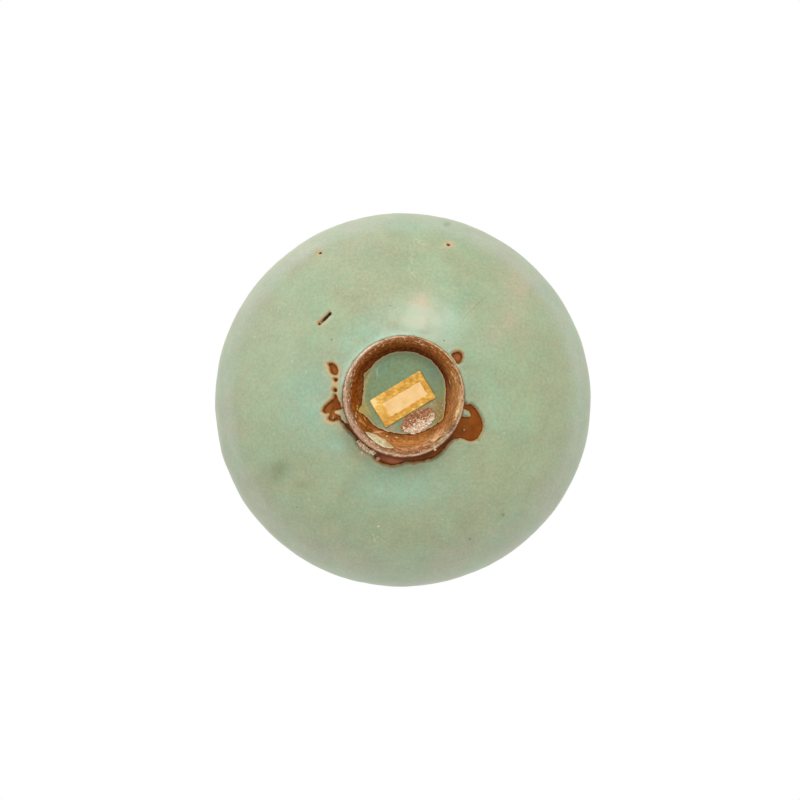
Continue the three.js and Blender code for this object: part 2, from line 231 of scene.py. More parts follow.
# %% Smooth unevenness
def ripple(points, size, seed, waves=14):
    """Smooth noise of about unit spread: sine waves near one length in random directions, added."""
    rng = np.random.default_rng(seed)
    directions = rng.normal(size=(waves, 3))
    directions /= np.linalg.norm(directions, axis=1, keepdims=True)
    pace = 2 * np.pi / (size * rng.uniform(0.7, 1.4, waves))
    phases = rng.uniform(0, 2 * np.pi, waves)
    return np.sin(points @ (directions * pace[:, None]).T + phases).sum(-1) * np.sqrt(2 / waves)


def smooth_step(low, high, values):
    """0 below low and 1 above high, with a smooth S between them."""
    share = np.clip((values - low) / (high - low), 0, 1)
    return share * share * (3 - 2 * share)


def steps(*stretches):
    """Numbers along stretches given as (start, end, step), without doubling the shared ends."""
    parts = [np.linspace(start, end, max(round((end - start) / step), 1), endpoint=False)
             for start, end, step in stretches]
    return np.concatenate([*parts, [stretches[-1][1]]])


print("ripple of one point:", ripple(np.zeros((1, 3)), 5, 1))

# %% [markdown]
# ## Places on a thrown pot
#
# A place on a pot is told by its distance from the axis, its azimuth and its height. Two and three
# gentle lobes make the bowl slightly out of round, most of all at the belly.

# %% Radius, azimuth and height
TURN = 2 * np.pi
OVAL, OVAL_AZIMUTH = 0.218, -15.0  # how far out of round in two lobes, and where the first one lies
TRIANGLE, TRIANGLE_AZIMUTH = 0.123, 17.0  # the same in three lobes
SET_IN = 0.3  # keeps the widest lobe inside the frame's box


def all_round(count):
    """Azimuths evenly round the axis."""
    return np.linspace(0, TURN, count, endpoint=False)


def from_axis(grid):
    """Distance of each point from the axis."""
    return np.hypot(grid[..., 0], grid[..., 1])


def azimuth_of(grid):
    """Angle of each point round the axis, from +X towards +Y."""
    return np.arctan2(grid[..., 1], grid[..., 0])


def at_azimuth(radius, azimuth):
    """Plan points x = r cos a, y = r sin a."""
    return np.stack([radius * np.cos(azimuth), radius * np.sin(azimuth)], -1)


def at_height(plan, height=0):
    """Plan points with their heights, or one height for all."""
    return np.concatenate([plan, np.broadcast_to(height, plan.shape[:-1])[..., None]], -1)


def around(radius, height, azimuth):
    """Points [row, column, xyz] of a profile, with one radius and height a row or a full grid of
    them, turned through the azimuths."""
    radius = np.broadcast_to(np.reshape(radius, (len(radius), -1)), (len(radius), len(azimuth)))
    height = np.broadcast_to(np.reshape(height, (len(height), -1)), radius.shape)
    return at_height(at_azimuth(radius, azimuth), height)


def along_and_across(grid, x, y, turned):
    """How far each point lies from (x, y) along a line turned by some degrees, and across it."""
    angle = np.radians(turned)
    dx, dy = grid[..., 0] - x, grid[..., 1] - y
    return dx * np.cos(angle) + dy * np.sin(angle), dy * np.cos(angle) - dx * np.sin(angle)


def out_of_round(grid):
    """Moves points in or out by two and three gentle lobes, growing from the foot to the belly."""
    radius, azimuth = from_axis(grid), azimuth_of(grid)
    lobes = OVAL * np.cos(2 * (azimuth - np.radians(OVAL_AZIMUTH)))
    lobes += TRIANGLE * np.cos(3 * (azimuth - np.radians(TRIANGLE_AZIMUTH)))
    growth = smooth_step(FOOT_OUTSIDE, GLAZE_RADIUS, radius)
    factor = 1 + growth * (lobes - SET_IN) / np.maximum(radius, 1)
    return at_height(grid[..., :2] * factor[..., None], grid[..., 2])


belly = from_axis(out_of_round(around([GLAZE_RADIUS], [BELLY], all_round(360))))
print(f"radius at the belly: {belly.min():.2f} to {belly.max():.2f} mm")

# %% [markdown]
# ## The wall's curve
#
# From the foot to the belly the wall follows a quarter of an ellipse, and from there to the lip it
# leans in as a parabola. One parameter u runs 0 at the axis, 1 at the belly and 2 where the lip
# begins to round over. Coats lie along the curve's normal.


# %% The wall and its normal
def wall(form, u):
    """Radius, height and outward normal at u. Below the belly r = R sin a and z = B - (B - c) cos a
    with a = u quarter turns; above it r = R - lean (u - 1)^2, rising evenly to the lip."""
    radius, crossing, lean = form
    angle = np.minimum(u, 1) * np.pi / 2
    share = np.maximum(u - 1, 0)
    r = radius * np.sin(angle) - lean * share**2
    z = BELLY - (BELLY - crossing) * np.cos(angle) + (LIP_START - BELLY) * share
    along_r = np.where(u < 1, radius * np.cos(angle), -2 * lean * share)
    along_z = np.where(u < 1, (BELLY - crossing) * np.sin(angle), LIP_START - BELLY)
    length = np.hypot(along_r, along_z)
    return r, z, along_z / length, -along_r / length


def u_at_radius(form, radius):
    """The u below the belly at a radius: arcsin(r / R), counted in quarter turns."""
    return np.arcsin(np.clip(np.asarray(radius) / form[0], 0, 1)) / (np.pi / 2)


def u_at_height(height):
    """The u above the belly at a height, which rises evenly."""
    return 1 + (np.asarray(height) - BELLY) / (LIP_START - BELLY)


def well_radius(height):
    """Radius of the well's sloping wall, which narrows evenly with the height."""
    return REST_INNER + (WELL_FLOOR - REST_INNER) * np.asarray(height) / WELL_DEPTH


def lean_into_well(grid):
    """Slides points sideways in proportion to their height, as the well leans off the axis."""
    moved = grid.copy()
    moved[..., :2] += WELL_SHIFT * grid[..., 2:] / WELL_DEPTH
    return moved


print("body at the foot:", [round(float(v), 2) for v in wall(OUTER_WALL, u_at_radius(OUTER_WALL, 19))])

# %% [markdown]
# ## Where the glaze crawled back
#
# The bare patches are closed outlines round the foot, drawn from above as a few points each with a
# smooth curve through them. Everything about the glaze's edge follows from one number: how far a
# point lies from the nearest outline, positive on the glaze and negative on bare clay.

# %% Outlines of the bare clay, in millimetres
CRAWLED = [
    (19.1, 2.1), (20.9, 2.4), (22.5, 4.1), (23.8, 6.4), (24.4, 8.7), (24.0, 10.7), (22.8, 12.6),
    (21.1, 13.5), (19.4, 13.2), (17.7, 12.6), (16.3, 12.7), (14.0, 13.6), (12.7, 15.4),
    (11.2, 17.2), (8.9, 18.6), (6.1, 19.2), (3.4, 19.7), (0.9, 19.7), (-0.9, 20.2), (-3.0, 20.8),
    (-6.0, 20.2), (-8.7, 18.6), (-9.7, 17.2), (-12.5, 15.6), (-14.2, 13.4), (-14.7, 12.0), (-16.8, 10.0),
    (-18.4, 8.0), (-19.6, 7.0), (-20.7, 7.0), (-21.8, 7.3), (-22.9, 6.6), (-22.7, 5.8),
    (-22.3, 5.1), (-23.4, 4.95), (-24.4, 4.6), (-24.7, 3.9), (-23.2, 2.0), (-21.4, 0.7),
    (-21.1, -0.6), (-20.6, -0.6), (-19.8, 1.4), (-18.7, 3.4),
]
TEARDROP = [
    (-20.5, -6.8), (-20.1, -7.6), (-20.3, -8.7), (-21.2, -10.1), (-22.8, -10.2), (-22.5, -9.1),
    (-22.3, -8.2), (-21.5, -7.1),
]
HALF_MOON = [
    (14.8, -13.1), (15.0, -12.3), (15.6, -11.6), (16.2, -10.7), (16.8, -10.2), (17.5, -10.7),
    (17.9, -11.7), (17.8, -12.9), (17.2, -13.6), (16.0, -13.7),
]
TONGUES = [
    [(18.0, 3.4), (19.5, 4.1), (20.5, 5.2), (20.4, 6.0), (19.3, 6.1), (17.5, 5.8)],
    [(-18.0, 3.6), (-19.3, 3.7), (-20.4, 3.9), (-21.0, 4.5), (-20.9, 5.1), (-20.1, 5.5),
     (-19.4, 6.1), (-18.9, 7.0), (-18.0, 7.8), (-16.8, 8.0), (-16.6, 6.0)],
]  # glaze that runs back over the bare clay to the foot
BEADS = [
    (-21.4, 6.6, 0.3), (-22.2, 6.1, 0.26), (-21.9, 3.3, 0.2), (18.6, 10.1, 0.26), (-20.7, 6.4, 0.2),
]  # x, y and radius of drops of glaze left on the bare clay
SPOTS = [
    (-20.7, -5.3, 0.42, 0.36, 20),
    (-20.9, -2.2, 0.52, 0.4, 70),
    (-24.2, -24.45, 2.4, 0.42, -45),
    (-25.9, -22.9, 0.5, 0.4, -45),
    (14.1, -48.0, 0.34, 0.24, 20),
    (-25.9, -45.6, 0.3, 0.22, 0),
]  # x, y, half length, half width and turn of each round-ended spot, slit and pinhole
FOOT_HEM = 18.0  # the glaze ran right up to the foot, so its hem lies inside the foot's wall
CURVE_STEPS = 6


def closed_curve(points):
    """A smooth closed curve through the points: a cubic between each two, whose slope at a point
    is half the way from the point before it to the one after it."""
    p1 = np.asarray(points, float)
    p0, p2, p3 = (np.roll(p1, shift, axis=0) for shift in (1, -1, -2))
    t = (np.arange(CURVE_STEPS) / CURVE_STEPS)[:, None, None]
    curve = p1 + (p2 - p0) * t / 2 + (p0 - 2.5 * p1 + 2 * p2 - p3 / 2) * t**2
    curve += (1.5 * (p1 - p2) + (p3 - p0) / 2) * t**3
    return curve.transpose(1, 0, 2).reshape(-1, 2)


def crawled_outline():
    """The crawled stretch, closed by an arc round the foot where the glaze reaches it."""
    first, last = (np.arctan2(y, x) for x, y in (CRAWLED[0], CRAWLED[-1]))
    arc = np.linspace(last, first + 2 * np.pi, 90)[1:-1]
    round_foot = at_azimuth(FOOT_HEM, arc)
    ends = np.concatenate([round_foot[-1:], CRAWLED, round_foot[:1]])
    curve = closed_curve(ends)[CURVE_STEPS : -2 * CURVE_STEPS + 1]
    return np.concatenate([curve, round_foot])


def signed_distance(plan, outline):
    """Distance from plan points to a closed outline, negative inside it by the even-odd rule."""
    start, end = outline.astype(np.float32), np.roll(outline, -1, axis=0).astype(np.float32)
    run = end - start
    x, y = (plan[:, i : i + 1].astype(np.float32) for i in (0, 1))
    dx, dy = x - start[:, 0], y - start[:, 1]
    share = np.clip((dx * run[:, 0] + dy * run[:, 1]) / (run**2).sum(1), 0, 1)
    nearest = np.hypot(dx - share * run[:, 0], dy - share * run[:, 1]).min(1)
    spans = (start[:, 1] > y) != (end[:, 1] > y)
    rise = np.where(run[:, 1] == 0, 1, run[:, 1])
    left = x < start[:, 0] + dy * run[:, 0] / rise
    inside = (spans & left).sum(1) % 2 == 1
    return np.where(inside, -nearest, nearest)


NEAR = 28  # radius beyond which only the spots matter
FAR_AWAY = 20.0  # distance given to points out there, more than any look reads


def edge_distance(grid):
    """How far each point lies from bare clay, seen along the axis; negative on the bare clay."""
    plan = grid[..., :2].reshape(-1, 2)
    distance = np.full(len(plan), FAR_AWAY)
    close = from_axis(plan) < NEAR
    near = signed_distance(plan[close], crawled_outline())
    for outline in (TEARDROP, HALF_MOON):
        near = np.minimum(near, signed_distance(plan[close], closed_curve(outline)))
    for tongue in TONGUES:
        near = np.maximum(near, -signed_distance(plan[close], closed_curve(tongue)))
    for x, y, radius in BEADS:
        near = np.maximum(near, radius - np.hypot(*(plan[close] - (x, y)).T))
    distance[close] = near
    for x, y, long, wide, turned in SPOTS:
        along, across = along_and_across(plan, x, y, turned)
        past_end = np.maximum(np.abs(along) - (long - wide), 0)
        distance = np.minimum(distance, np.hypot(past_end, across) - wide)
    return distance.reshape(grid.shape[:-1])


print("crawled outline points:", len(crawled_outline()))

# %% [markdown]
# ## Dabs of colour
#
# Jun glaze changes colour over centimetres, as it lies thicker or thinner. A list of soft dabs,
# each an ellipse that fades out as a bell curve, is painted over a base colour and kept as a colour
# attribute. Colours are written as sRGB hex, as a picture editor shows them, and one function turns
# them into the linear light that the renderer works in.


# %% Hex colours and soft dabs
def linear(hex_colour, alpha=1.0):
    """Linear-light RGBA of an sRGB hex colour."""
    parts = np.array([int(hex_colour[i : i + 2], 16) for i in (1, 3, 5)]) / 255
    light = np.where(parts <= 0.04045, parts / 12.92, ((parts + 0.055) / 1.055) ** 2.4)
    return (*(float(part) for part in light), alpha)


def dab(grid, x, y, along_reach, across_reach, turned):
    """A bell seen along the axis: exp(-(along^2 + across^2)), each measured in its own reach."""
    along, across = along_and_across(grid, x, y, turned)
    return np.exp(-((along / along_reach) ** 2) - (across / across_reach) ** 2)


def moved_towards(colours, colour, share):
    """Colours moved towards one colour by a share for each point."""
    return colours + share[..., None] * (np.array(linear(colour)) - colours)


def painted(grid, base, dabs=()):
    """A base colour with soft dabs over it, each (x, y, reach along, reach across, turn, colour,
    strength): the colour moves towards the dab's by its strength times its bell."""
    colours = np.broadcast_to(np.array(linear(base)), (*grid.shape[:-1], 4))
    for *place, colour, strength in dabs:
        colours = moved_towards(colours, colour, strength * dab(grid, *place))
    return colours


def ring_painted(grid, colours, bells):
    """More paint in bells that lie along a ring, each (azimuth, radius, spread in degrees, width,
    colour, strength): the share is strength times exp(-(degrees off)^2 - (radius off)^2)."""
    radius, degrees = from_axis(grid), np.degrees(azimuth_of(grid))
    for azimuth, middle, spread, width, colour, strength in bells:
        off = (degrees - azimuth + 180) % 360 - 180
        share = strength * np.exp(-((off / spread) ** 2) - ((radius - middle) / width) ** 2)
        colours = moved_towards(colours, colour, share)
    return colours


print("glaze green in linear light:", [round(part, 3) for part in linear("#a6b08c")])

# %% [markdown]
# ## The thrown body
#
# Stoneware, turned when leather-hard: a foot ring cut from the same clay, a sloping well inside it,
# a rest face worn pale by use. It could be lathed by the Screw modifier, but a worked-out grid lets
# the rest face be dented and the wall wobble. Its profile runs from the middle of the well, over
# the rest face, up the wall, over the lip and down to the middle of the floor inside. Its paint
# comes first: bells that lie along the ring for broad tones, and dabs for single strokes.
# Some tones on the foot's inner wall and beside the foot are painted light and shade, and a few dabs are
# painted glints and a painted shadow line.

# %% Paint of the foot and of the bare skin
FOOT_BROWN = "#8a5020"
FOOT_TONES_LIGHT_AND_SHADE = [
    # the first four bells: the inner wall lighter towards +y and +x, its own orange lifted by painted
    # light
    (90, 14.2, 42, 1.6, "#c88648", 0.85),
    (52, 15.7, 15, 0.9, "#f2bc84", 0.9),
    (85, 16.0, 28, 0.7, "#d2986a", 0.65),
    (0, 15.0, 28, 1.3, "#d0905a", 0.85),
    (340, 16.4, 22, 1.2, "#bc8444", 0.75),
    (315, 16.8, 20, 1.0, "#98581e", 0.8),
    (285, 16.8, 20, 0.9, "#8c4818", 0.8),
    (250, 16.4, 26, 0.9, "#844a08", 0.85),
    (262, 17.6, 30, 0.35, "#a8683e", 0.75),
    (215, 15.2, 28, 1.2, "#6e2a00", 0.85),
    (180, 15.2, 22, 1.4, "#843e00", 0.9),
    (150, 14.8, 16, 1.3, "#8a4a00", 0.85),
    (136, 15.0, 12, 1.1, "#7c440c", 0.7),
    # these two: the deep edge of the inner wall darkened towards -y next to the pool, painted shade
    (270, 14.8, 60, 0.7, "#4e1400", 0.95),
    (330, 14.4, 24, 0.5, "#5e1e00", 0.85),
    (205, 18.2, 30, 0.45, "#e4cab2", 0.9),
    (170, 17.8, 26, 0.75, "#ccac92", 0.85),
    (138, 17.6, 18, 0.9, "#c6a288", 0.85),
    (110, 17.9, 16, 0.45, "#d8b89c", 0.85),
    (80, 18.15, 22, 0.3, "#dcbca4", 0.85),
    (50, 18.2, 20, 0.28, "#ccb49c", 0.8),
    (20, 18.2, 20, 0.28, "#d4c0a2", 0.8),
    (190, 17.0, 12, 0.45, "#8e7c54", 0.7),
    (160, 17.2, 7, 0.4, "#8e7a60", 0.6),
    (8, 17.3, 14, 0.6, "#e4b47c", 0.8),
    (17, 17.0, 5, 0.5, "#fad8a2", 0.9),
    (45, 17.3, 13, 0.5, "#b89a70", 0.8),
    (36, 17.5, 5, 0.3, "#6a5440", 0.6),
    (72, 17.1, 14, 0.35, "#9a5236", 0.7),
    (100, 17.0, 18, 0.4, "#a8744e", 0.6),
    (228, 18.2, 22, 0.36, "#ecd4b8", 0.9),
    (250, 18.3, 20, 0.3, "#ecd0ac", 0.9),
    (280, 18.35, 18, 0.25, "#c0885c", 0.75),
    (270, 17.6, 22, 0.6, "#8e542a", 0.8),
    (312, 18.4, 26, 0.22, "#eac694", 0.85),
    (345, 18.25, 16, 0.3, "#d2b088", 0.8),
    (59, 18.2, 2.5, 0.7, "#e2bc98", 0.9),
    (126, 13.5, 5, 0.16, "#e8b080", 0.9),
    (100, 12.6, 2.5, 0.14, "#f0bc84", 0.8),
    (150, 14.9, 6, 0.16, "#d8a468", 0.8),
]  # paint on the foot's rest face and inner wall, broad strokes first; the inner wall is lighter towards +y and +x as painted light and darker at its deep edge towards -y as painted shade
FOOT_DABS_LIGHT_AND_SHADE = [
    (-7.8, 10.8, 1.9, 0.3, -6, "#e0a878", 0.9),
    (-5.1, 12.1, 0.3, 0.3, 0, "#f4d8a8", 0.9),
    (-11.9, 6.6, 0.9, 0.14, 62, "#eaa458", 0.9),
    (-12.0, 8.2, 1.0, 0.13, 55, "#eaa458", 0.8),
    (-13.4, 7.4, 0.7, 0.12, 60, "#f0b870", 0.8),
    # painted glints: three pale dashes on the inner wall towards +x
    (14.8, -7.0, 0.9, 0.16, 62, "#f4c890", 0.9),
    (14.1, -4.6, 1.0, 0.13, 75, "#f0b478", 0.9),
    (15.3, -2.4, 0.9, 0.13, 82, "#e8a868", 0.8),
    (16.2, -9.2, 0.5, 0.2, 60, "#f8dcb0", 0.9),
    (17.8, 0.2, 0.3, 0.9, 0, "#f8dcb0", 0.5),
    (10.6, 13.1, 1.8, 0.16, -42, "#3c1c08", 0.85),
    (9.9, 12.9, 1.8, 0.2, -42, "#ecc8a0", 0.75),
    (11.5, 13.2, 1.5, 0.2, -42, "#e4bc94", 0.75),
    (-14.6, 6.0, 0.5, 0.2, 70, "#c8d0b4", 0.8),
    (-14.0, 4.0, 0.75, 0.3, 65, "#dcb45c", 0.9),
    (-14.5, 5.1, 0.6, 0.24, 80, "#cca048", 0.85),
    (-14.2, 2.9, 0.35, 0.16, 75, "#e8c47c", 0.8),
    # painted shadow: a dark line along the splash's lower edge
    (-6.6, 15.4, 1.2, 0.14, 24, "#3c1804", 0.8),
]  # single strokes and scrapes on the same surfaces, with painted glints and a painted shadow line
SKIN_BROWN = "#8e4804"
SKIN_BELLS_LIGHT_AND_SHADE = [
    # the first two darken the clay close against the foot: its own darker iron and painted shade of the
    # corner
    (75, 18.9, 36, 0.7, "#60300e", 0.9),
    (120, 18.9, 26, 0.6, "#5e2c14", 0.85),
    (98, 20.0, 15, 0.9, "#bc7048", 0.95),
    # painted light: a paler patch under the crust, lifting the shade between its grains
    (126, 19.4, 9, 0.9, "#b89070", 0.85),
    (148, 19.0, 10, 0.8, "#74441a", 0.9),
    (172, 18.9, 8, 0.6, "#5c3408", 0.8),
]
SKIN_DABS_AND_SHADE = [
    (-22.0, 6.4, 1.7, 1.2, 20, "#e29c50", 0.95),
    (-23.4, 3.0, 1.8, 1.2, 0, "#985c22", 0.8),
    (17.6, 15.0, 1.6, 2.4, 40, "#763c0c", 0.6),
    (20.0, 8.0, 1.6, 1.4, 0, "#7e4a12", 0.6),
    # painted shade: near-black at the bottom of the slit and the pinholes
    (-23.2, -25.4, 1.6, 0.8, -42, "#1c0a02", 1.0),
    (-25.3, -23.3, 1.2, 0.8, -42, "#6e3a12", 0.9),
    (-25.9, -45.6, 0.6, 0.6, 0, "#3a2008", 1.0),
    (14.1, -48.0, 0.5, 0.5, 0, "#3a1a08", 1.0),
    (-20.7, -5.3, 0.8, 0.8, 0, "#6a4a14", 0.8),
    (-20.9, -2.2, 0.9, 0.9, 0, "#5a3c0c", 0.9),
    (-21.2, -8.4, 2.0, 1.2, 60, "#a0622c", 0.7),
    (16.6, -12.2, 1.0, 0.9, 0, "#a8683a", 0.7),
]  # paint on the bare skin beside the foot, and near-black at the bottom of slit and pinholes, painted shade of those narrow hollows over the clay's brown
print("paint of the foot and skin:", len(FOOT_TONES_LIGHT_AND_SHADE + FOOT_DABS_LIGHT_AND_SHADE), len(SKIN_BELLS_LIGHT_AND_SHADE + SKIN_DABS_AND_SHADE))

# %% Profile of the body
INNER_WEAR, OUTER_WEAR = (0.6, 0.5), (0.5, 0.3)  # how far up and along the edges are worn round
FOOT_RISE = 8  # height over which the foot's outer wall widens


def lip_arc(count):
    """Radius and height over the lip, from its outer side to its inner side: half an ellipse."""
    angle = np.linspace(0, np.pi, count + 2)[1:-1]
    outer = BODY_RADIUS - LIP_LEAN
    radius = outer - LIP_WALL / 2 + LIP_WALL / 2 * np.cos(angle)
    return radius, LIP_START + (BODY_TOP - LIP_START) * np.sin(angle)


def bent(start, corner, end, count):
    """Points of a quadratic curve from start to end that leans towards the corner."""
    t = np.linspace(0, 1, count)[:, None]
    start, corner, end = map(np.array, (start, corner, end))
    return (1 - t) ** 2 * start + 2 * t * (1 - t) * corner + t**2 * end


def body_profile():
    """Radius and height of each row, and how many of the first rows belong to the well."""
    up, along = INNER_WEAR
    ceiling = np.linspace(1.5, well_radius(WELL_CEILING), 5)
    drop = steps((0, WELL_CEILING - 1, 0.7), (WELL_CEILING - 1, WELL_CEILING - up, 0.2))
    cone_height = WELL_CEILING - drop[1:]
    inner_edge = bent((well_radius(up), up), (REST_INNER, 0), (REST_INNER + along, 0), 7)
    rest = steps((REST_INNER + along, FOOT_WALL - OUTER_WEAR[1], 0.11))[1:-1]
    outer_edge = bent((FOOT_WALL - OUTER_WEAR[1], 0), (FOOT_WALL, 0), (FOOT_WALL, OUTER_WEAR[0]), 7)
    side_height = steps((0.7, FOOT_RISE, 0.7))
    rise = (side_height - OUTER_WEAR[0]) / FOOT_RISE
    under = wall(OUTER_WALL, u_at_radius(OUTER_WALL, steps((18.75, 26, 0.18), (26, 44, 2.5))))
    side = wall(OUTER_WALL, steps((u_at_radius(OUTER_WALL, 45.5), 1, 0.06), (1, 2, 0.25)))
    lip_r, lip_z = lip_arc(7)
    inside = wall(INNER_WALL, steps((0.03, 1, 0.05), (1, 2, 0.25))[::-1])
    radius = np.concatenate([
        ceiling, well_radius(cone_height), inner_edge[:, 0], rest, outer_edge[:, 0],
        FOOT_WALL + (FOOT_WALL_TOP - FOOT_WALL) * rise, under[0], side[0], lip_r, inside[0],
    ])
    height = np.concatenate([
        0 * ceiling + WELL_CEILING, cone_height, inner_edge[:, 1], 0 * rest, outer_edge[:, 1],
        side_height, under[1], side[1], lip_z, inside[1],
    ])
    return radius, height, len(ceiling) + len(cone_height)


print("rows of the body:", len(body_profile()[0]))

# %% Thrown body
BODY_COLUMNS = 640
ROUGH_BELOW = 1.5  # height up to which the foot is dented and grainy
DENT, DENT_LIMIT = 0.14, 1.6  # depth of the deepest dents, and where their ripple is cut off
FOOT_TOP, SKIN_BOTTOM = 1.6, 2.4  # between these heights the foot's colours turn into the skin's
STRETCH = 3.5  # turning marks are this many times as long as they are wide
MARKED_RADIUS = 17  # radius at which the marks have their true length


def turning(grid):
    """Where a turning mark's pattern is read: (R cos a, R sin a, s (r - z)), so that a step along
    the ring counts once and a step across it, or up its wall, counts s times."""
    radius = from_axis(grid)
    direction = grid[..., :2] / np.maximum(radius, 1e-6)[..., None]
    return at_height(direction * MARKED_RADIUS, (radius - grid[..., 2]) * STRETCH)


def foot_tint(grid):
    """Paint of the foot's rest face and walls, with painted light and shade on the inner wall."""
    return ring_painted(grid, painted(grid, FOOT_BROWN), FOOT_TONES_LIGHT_AND_SHADE)


def clay_tint(grid):
    """Paint of the foot low down, and of the bare skin higher up."""
    foot = foot_tint(grid)
    skin = ring_painted(grid, painted(grid, SKIN_BROWN, SKIN_DABS_AND_SHADE), SKIN_BELLS_LIGHT_AND_SHADE)
    return foot + smooth_step(FOOT_TOP, SKIN_BOTTOM, grid[..., 2:]) * (skin - foot)


def thrown_body():
    """The profile turned through a full turn, then dented, grained and leant into the well."""
    radius, height, well_rows = body_profile()
    grid = around(radius, height, all_round(BODY_COLUMNS))
    foot = (grid[..., 2] < ROUGH_BELOW) & (from_axis(grid) < FOOT_WALL + 1)
    dents = np.clip(ripple(grid, 2.2, 11) + 0.6 * ripple(grid, 0.9, 12) - 0.9, 0, DENT_LIMIT)
    near_rest = smooth_step(ROUGH_BELOW, 0.2, grid[..., 2]) * foot
    grid[..., 2] += DENT / DENT_LIMIT * dents * near_rest
    grain = 0.035 * ripple(grid, 1.1, 13) * foot * smooth_step(0, 0.3, grid[..., 2])
    grid[..., :2] *= 1 + (grain / np.maximum(from_axis(grid), 1))[..., None]
    marks = turning(grid)
    grid[:well_rows] = lean_into_well(grid[:well_rows])
    edge, tint = edge_distance(grid), clay_tint(grid)
    poles = [(*(WELL_SHIFT * WELL_CEILING / WELL_DEPTH), WELL_CEILING), (0, 0, FLOOR_INSIDE)]
    return grid_piece("thrown_body_clay", out_of_round(grid), "stoneware",
                      {"edge": edge, "tint": tint, "turning": marks}, poles, ["thrown_body"])


body = thrown_body()

# %% [markdown]
# ## Coats of glaze
#
# A coat is a shell: its outer side lies off the clay by the coat's thickness, and its hidden side
# lies just inside the clay, so that no gap shows. At a bare patch the outer side rolls over in a
# thick bead, as molten glaze does, and dives under the clay. The grid is fine round the foot and at
# the pits and coarser elsewhere, which keeps the triangles where the eye looks.

# %% Grid and thickness of the outer glaze
GLAZE_AT_FOOT, GLAZE_AT_BELLY, GLAZE_AT_BAND = 1.25, 0.85, 0.5  # off the clay, bed included
ROLL = 0.34  # how quickly the glaze's edge rises to its full thickness
SUNK = 0.22  # how far the coat dives under bare clay
COLUMNS_IN_DEGREES = steps(
    (0, 50, 0.4), (50, 155, 0.6), (155, 206, 0.4), (206, 219, 0.9), (219, 231, 0.35),
    (231, 238.5, 0.9), (238.5, 242.5, 0.18), (242.5, 284.5, 0.9), (284.5, 288.5, 0.16),
    (288.5, 318, 0.9), (318, 330, 0.4), (330, 360, 0.8),
)[:-1]
RADII_UNDER = steps(
    (18.55, 26, 0.17), (26, 33.4, 0.6), (33.4, 35.4, 0.18), (35.4, 49.2, 0.9), (49.2, 51, 0.2),
    (51, 51.8, 0.4), (51.8, 53.2, 0.2), (53.2, 56, 0.7),
)
print("rings under the bowl and columns:", len(RADII_UNDER), len(COLUMNS_IN_DEGREES))

